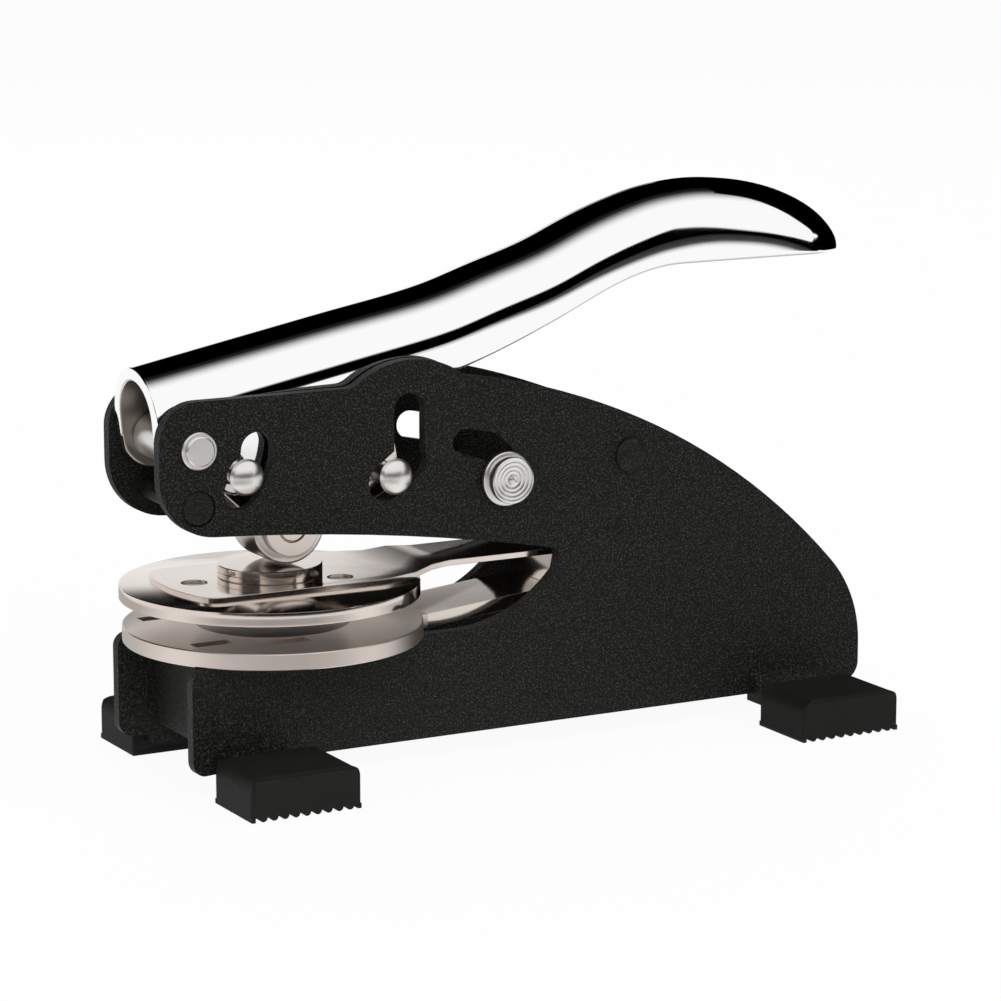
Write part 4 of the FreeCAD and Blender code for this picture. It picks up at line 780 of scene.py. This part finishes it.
# %% Lines that the handle follows
def through(points, smoothing):
    """A smooth line through points that never overshoots, evened out over a short length."""
    slopes = []
    secants = [(b[1] - a[1]) / (b[0] - a[0]) for a, b in zip(points, points[1:])]
    for place in range(len(points)):
        before = secants[max(place - 1, 0)]
        after = secants[min(place, len(secants) - 1)]
        slopes.append(0.0 if before * after <= 0 else 2 * before * after / (before + after))

    def level(x):
        x = min(max(x, points[0][0]), points[-1][0])
        place = max(n for n in range(len(points) - 1) if points[n][0] <= x)
        (x0, z0), (x1, z1) = points[place], points[place + 1]
        wide = x1 - x0
        t = (x - x0) / wide
        return (z0 * (1 + 2 * t) * (1 - t) ** 2 + slopes[place] * wide * t * (1 - t) ** 2
                + z1 * t * t * (3 - 2 * t) + slopes[place + 1] * wide * t * t * (t - 1))

    def evened(x):
        room = min(smoothing, x - points[0][0], points[-1][0] - x)
        if room <= 0.01:
            return level(x)
        shares = (0.1, 0.2, 0.4, 0.2, 0.1)
        return sum(share * level(x + room * (n - 2) / 2) for n, share in enumerate(shares))

    return evened


top_line = through([(-32.0, 82.34), (-10.0, 86.57), (12.0, 90.79), (34.0, 95.0), (46.0, 98.7),
                    (58.4, 102.5), (68.5, 106.8), (77.3, 109.9), (87.0, 112.4), (96.5, 113.3),
                    (106.0, 112.6), (114.0, 111.0), (120.0, 108.9), (125.0, 106.3),
                    (129.0, 103.0), (133.0, 97.2)], 4.0)
rail_line = through([(12.0, 72.6), (19.0, 74.6), (33.2, 77.6), (46.9, 82.1), (60.0, 87.4),
                     (75.0, 94.0), (81.5, 95.9), (88.0, 96.8), (110.0, 96.8), (133.0, 96.8)], 3.0)
print("top over the grip:", round(top_line(96.5), 2), "mm")

# %% The lower edge: boss round the pivot, knee round the press pin, then the rail
pivot = (-21.2, 68.2)
boss_radius = 6.7
knee = (-11.2, 62.2)
knee_radius = 4.4
boss_leave = math.radians(70.0)
knee_meet = math.radians(20.0)
knee_leave = math.radians(45.0)


def lower_edge():
    """Points of the lower edge from the front to the rear, as (x, z) in mm."""
    points = []
    steps = 14
    for n in range(steps + 1):
        turn = math.pi + (math.pi - boss_leave) * n / steps
        points.append((pivot[0] + boss_radius * math.cos(turn),
                       pivot[1] + boss_radius * math.sin(turn)))
    for n in range(steps + 1):
        turn = math.pi + knee_meet + (math.pi - knee_leave - knee_meet) * n / steps
        points.append((knee[0] + knee_radius * math.cos(turn),
                       knee[1] + knee_radius * math.sin(turn)))
    leg = points[-1]
    points += [(leg[0] + (12.0 - leg[0]) * n / 10, leg[1] + (72.6 - leg[1]) * n / 10)
               for n in range(1, 10)]
    x = 12.0
    while x < handle_tip - 12.0:
        points.append((x, rail_line(x)))
        x += 1.0
    end = math.pi / 2
    start_x = x
    for n in range(31):
        points.append((start_x + (handle_tip - start_x) * math.sin(end * n / 30), rail_line(x)))
    return points


handle_tip = 131.6
edge_points = lower_edge()
print(len(edge_points), "stations along the handle")

# %% One ring of the handle
half_out = 10.5
half_in = 7.5
crown_wall = 2.6
lip = 0.7
hollow_end = 123.0
slant = 1.8 / 23.6
slant_fade = 20.0
crest_guess = 82.0
leg_steps = 9
hollow_steps = 5
arch_steps = 36
lip_turns = [math.pi / 2 * n / 4 for n in range(1, 5)]
draft_slope = math.tan(math.radians(3.0))
draft_blend = 3.0


def draft(depth):
    """How far a leg leans inwards at a depth below the arch: a casting's draft, eased in."""
    if depth < draft_blend:
        return draft_slope * depth * depth / (2 * draft_blend)
    return draft_slope * (depth - draft_blend / 2)


def rounded_end(x, tip, half):
    """The half width in plan, which closes in a half circle at the tip."""
    into = x - (tip - half)
    return half if into <= 0 else math.sqrt(max(half * half - into * into, 0.0))


def handle_ring(x, low, inset):
    """One closed ring of the handle at a station; inset shrinks the wall for a rounded front."""
    front = edge_points[0][0]
    share = min(max((x - front) / slant_fade, 0.0), 1.0)
    lean = slant * (1 - share * share * (3 - 2 * share))
    low += inset

    def at(y, z):
        return Vector(((x - lean * (z - pivot[1])) * MM + die_axis, y * MM, z * MM))

    def crest(height):
        return top_line(x - lean * (height - pivot[1]))

    def lip_round(wall, reach, turns):
        """The quarter round under a wall, from its face sideways by reach."""
        return [at(wall + reach * (1 - math.cos(turn)), low + abs(reach) * (1 - math.sin(turn)))
                for turn in turns]

    top = crest(crest(crest_guess)) - inset
    wide = max(rounded_end(x, handle_tip, half_out) - inset, 0.0)
    outer_lip = min(lip, wide)
    spring = max(top - wide, low + outer_lip)
    leg = spring - low - outer_lip
    depths = [leg * (1 - n / leg_steps) ** 2 for n in range(leg_steps)]
    foot = wide - draft(leg)
    ring = []
    for depth in depths:
        ring.append(at(-(wide - draft(depth)), spring - depth))
    for n in range(arch_steps + 1):
        turn = math.pi * n / arch_steps
        ring.append(at(-wide * math.cos(turn), spring + (top - spring) * math.sin(turn)))
    for depth in reversed(depths):
        ring.append(at(wide - draft(depth), spring - depth))
    ring += lip_round(foot, -outer_lip, lip_turns)

    closing = rounded_end(x, hollow_end, half_in) / half_in
    inner = (half_in + inset) * closing
    inner_lip = lip * closing
    inner_top = low + (top + 2 * inset - crown_wall - low) * math.sqrt(closing)
    inner_spring = max(inner_top - inner, low + inner_lip)
    inner_rise = inner_top - inner_spring
    levels = [low + inner_lip + (inner_spring - low - inner_lip) * n / hollow_steps
              for n in range(hollow_steps)]
    hollow = lip_round(inner, inner_lip, reversed(lip_turns))
    hollow += [at(inner, level) for level in levels]
    for n in range(arch_steps + 1):
        turn = math.pi * n / arch_steps
        hollow.append(at(inner * math.cos(turn), inner_spring + inner_rise * math.sin(turn)))
    hollow += [at(-inner, level) for level in reversed(levels)]
    hollow += lip_round(-inner, -inner_lip, lip_turns)
    return ring + hollow + lip_round(-foot, outer_lip, reversed(lip_turns))


# %% Join the rings
def handle_mesh():
    front_round = 0.6
    rings = []
    for step in range(5):
        turn = math.pi / 2 * step / 4
        inset = front_round * (1 - math.sin(turn))
        shift = front_round * (1 - math.cos(turn))
        rings.append(handle_ring(edge_points[0][0] + shift * 0.5, edge_points[0][1], inset))
    for x, low in edge_points[3:]:
        rings.append(handle_ring(x, low, 0.0))
    work = bmesh.new()
    rows = [[work.verts.new(point) for point in ring] for ring in rings]
    count = len(rows[0])
    for first, second in zip(rows, rows[1:]):
        for n in range(count):
            following = (n + 1) % count
            work.faces.new((first[n], first[following], second[following], second[n]))
    bmesh.ops.remove_doubles(work, verts=work.verts, dist=0.004 * MM)
    bmesh.ops.dissolve_degenerate(work, dist=0.004 * MM, edges=work.edges)
    border = [edge for edge in work.edges if edge.is_boundary]
    bmesh.ops.triangulate(work, faces=bmesh.ops.contextual_create(work, geom=border)["faces"])
    bmesh.ops.recalc_face_normals(work, faces=work.faces)
    mesh = bpy.data.meshes.new("handle_cast")
    work.to_mesh(mesh)
    print("open edges:", len([edge for edge in work.edges if not edge.is_manifold]))
    work.free()
    return mesh


handle_piece = dress(handle_mesh(), "handle", 50.0)
print(handle_piece.name, len(handle_piece.data.polygons), "faces")

# %% [markdown]
# ## Floor, light and what the chrome sees
# A pale floor keeps a soft shadow. White surroundings show white to the camera and in every
# mirror, and large lamps light the object gently. A mirror of white alone looks like plaster, so
# cards with soft edges stand out of view, as a photographer would place them: a dark canopy
# overhead and behind, a dark strip in front, dark walls at both sides and grey paper round the
# dies. Only mirror rays see them.

# %% Floor
def stage_object(name, points, faces, material):
    mesh = bpy.data.meshes.new(name)
    mesh.from_pydata(points, [], faces)
    mesh.materials.append(material)
    made = bpy.data.objects.new(name, mesh)
    bpy.context.scene.collection.objects.link(made)
    return made


def seen_directly(tree):
    """1 for the camera and for rays from mirrors and glass, 0 for light that falls on things."""
    rays = tree.node("ShaderNodeLightPath")
    return (rays.out("Is Camera Ray") + rays.out("Is Glossy Ray")
            + rays.out("Is Transmission Ray")).math("MINIMUM", 1.0)


def floor_material():
    """To the eye mostly plain white, with some real floor in it that takes the shadow."""
    whiteness = 0.94
    material = bpy.data.materials.new("pale_floor")
    material.use_nodes = True
    tree = Tree(material.node_tree)
    tree.nodes.nodes.clear()
    paint = tree.node("ShaderNodeBsdfDiffuse", None, {"Color": (0.93, 0.93, 0.93, 1.0)})
    white = tree.node("ShaderNodeEmission", None, {"Strength": 1.0})
    mixed = tree.node("ShaderNodeMixShader", None,
                      {0: seen_directly(tree) * whiteness, 1: paint, 2: white})
    tree.node("ShaderNodeOutputMaterial", None, {"Surface": mixed})
    return material


floor_half = 6.0
corners = [(-floor_half, -floor_half, 0.0), (floor_half, -floor_half, 0.0),
           (floor_half, floor_half, 0.0), (-floor_half, floor_half, 0.0)]
stage_object("floor", corners, [(0, 1, 2, 3)], floor_material())

# %% Cards
def card_material():
    """Paper whose grey is painted on its points: 0 is black, 1 as white as the room."""
    material = bpy.data.materials.new("card")
    material.use_nodes = True
    tree = Tree(material.node_tree)
    tree.nodes.nodes.clear()
    shade = tree.node("ShaderNodeAttribute", {"attribute_name": "shade"}, None, "Fac")
    glow = tree.node("ShaderNodeEmission", None, {"Strength": shade})
    tree.node("ShaderNodeOutputMaterial", None, {"Surface": glow})
    return material


CARD = card_material()


def card(name, rows):
    """A sheet of rows of (x, y, z, shade) in metres, seen by mirror rays only."""
    wide = len(rows[0])
    points = [point[:3] for row in rows for point in row]
    faces = [(r * wide + n, r * wide + n + 1, (r + 1) * wide + n + 1, (r + 1) * wide + n)
             for r in range(len(rows) - 1) for n in range(wide - 1)]
    sheet = stage_object(name, points, faces, CARD)
    shade = sheet.data.attributes.new("shade", "FLOAT", "POINT")
    for place, point in enumerate(point for row in rows for point in row):
        shade.data[place].value = point[3]
    sheet.visible_camera = False
    sheet.visible_diffuse = False
    sheet.visible_shadow = False
    sheet.visible_transmission = False
    sheet.visible_volume_scatter = False
    return sheet


# %% A dark canopy, a dark strip in front and dark walls at both sides
canopy_reach = 0.75
canopy = [(canopy_reach, 0.235, 1.0), (canopy_reach, 0.275, 0.3), (canopy_reach, 0.31, 0.0)]
for angle, shade in ((35, 0.0), (50, 0.0), (65, 0.0), (75, 0.0), (84, 0.02), (90, 0.2),
                     (96, 0.55), (102, 0.85), (108, 1.0)):
    turn = math.radians(angle)
    canopy.append((canopy_reach * math.cos(turn), canopy_reach * math.sin(turn), shade))
canopy_half = 1.1
card("canopy", [[(x, *point) for x in (-canopy_half, canopy_half)] for point in canopy])
strip_y = -0.8
over_floor = 0.001
strip_tops = [(-1.6, 0.24), (0.28, 0.24), (0.46, 0.34), (0.57, 0.08), (1.6, 0.06)]
card("low_strip", [[(x, -0.42, over_floor, 1.0) for x, top in strip_tops],
                   [(x, -0.50, over_floor, 0.05) for x, top in strip_tops],
                   [(x, strip_y, over_floor, 0.0) for x, top in strip_tops],
                   [(x, strip_y, top - 0.02, 0.0) for x, top in strip_tops],
                   [(x, strip_y, top + 0.035, 1.0) for x, top in strip_tops]])
wall_x = 0.45
wall_bottom = 0.003
wall_tops = [(-0.75, 0.04, 0.0), (-0.6, 0.08, 0.0), (-0.27, 0.25, 0.0), (-0.1, 0.5, 0.0),
             (0.0, 0.7, 0.0), (0.9, 0.7, 0.0), (1.0, 0.7, 1.0)]
card("right_wall", [[(wall_x, y, top * share, shade) for y, top, shade in wall_tops]
                    for share in (wall_bottom, 0.5, 1.0)])
left_x = -0.7
left_sides = [(-0.7, 1.0), (-0.6, 0.05), (-0.05, 0.05), (0.1, 1.0)]
left_levels = [(0.09, 1.0), (0.13, 0.05), (0.36, 0.05), (0.42, 1.0)]
card("left_wall", [[(left_x, y, z, max(side, level)) for y, side in left_sides]
                   for z, level in left_levels])

# %% Grey rings on the floor, for the rims of the dies
def ring_shade(azimuth):
    """How light the floor looks from the dies, in each direction."""
    knots = [(-180, 0.98), (-170, 0.85), (-150, 0.52), (-115, 0.42), (-85, 0.45), (-65, 0.65),
             (-50, 0.97), (-38, 1.0), (-20, 0.65), (0, 0.5), (95, 0.5), (135, 0.55), (155, 0.8),
             (170, 1.0), (180, 0.98)]
    place = max(n for n in range(len(knots) - 1) if knots[n][0] <= azimuth)
    (a, low), (b, high) = knots[place], knots[place + 1]
    return low + (high - low) * (azimuth - a) / (b - a)


ring_height = 0.0005
ring_rows = []
for reach, full in ((0.085, 0.0), (0.11, 1.0), (0.21, 1.0), (0.255, 0.0)):
    row = []
    for azimuth in range(-180, 181, 5):
        turn = math.radians(azimuth)
        shade = 1.0 - (1.0 - ring_shade(azimuth)) * full
        row.append((die_axis + reach * math.cos(turn), reach * math.sin(turn), ring_height, shade))
    ring_rows.append(row)
card("floor_ring", ring_rows)


# %% Lamps
def soft_lamp(name, place, aim, width, height, power):
    data = bpy.data.lights.new(name, "AREA")
    data.shape = "RECTANGLE"
    data.size = width
    data.size_y = height
    data.energy = power
    lamp = bpy.data.objects.new(name, data)
    lamp.location = place
    lamp.rotation_euler = (Vector(aim) - Vector(place)).to_track_quat("-Z", "Y").to_euler()
    lamp.visible_camera = False
    lamp.visible_glossy = False
    bpy.context.scene.collection.objects.link(lamp)
    return lamp


soft_lamp("key", (-0.5, -1.3, 1.1), (0.0, 0.0, 0.05), 1.2, 0.8, 16.0)
soft_lamp("fill", (1.2, -0.9, 0.8), (0.0, 0.0, 0.05), 0.9, 0.9, 6.0)
soft_lamp("back", (0.3, 1.2, 1.0), (0.0, 0.0, 0.05), 1.0, 0.8, 6.0)

# %% White surroundings
world = bpy.data.worlds.new("studio")
world.use_nodes = True
bpy.context.scene.world = world
room = Tree(world.node_tree)
room.nodes.nodes.clear()
soft_level = 0.45
strength = soft_level + seen_directly(room) * (1.0 - soft_level)
background = room.node("ShaderNodeBackground", None,
                       {"Color": (1.0, 1.0, 1.0, 1.0), "Strength": strength})
room.node("ShaderNodeOutputWorld", None, {"Surface": background})
bpy.context.scene.view_settings.view_transform = "Standard"
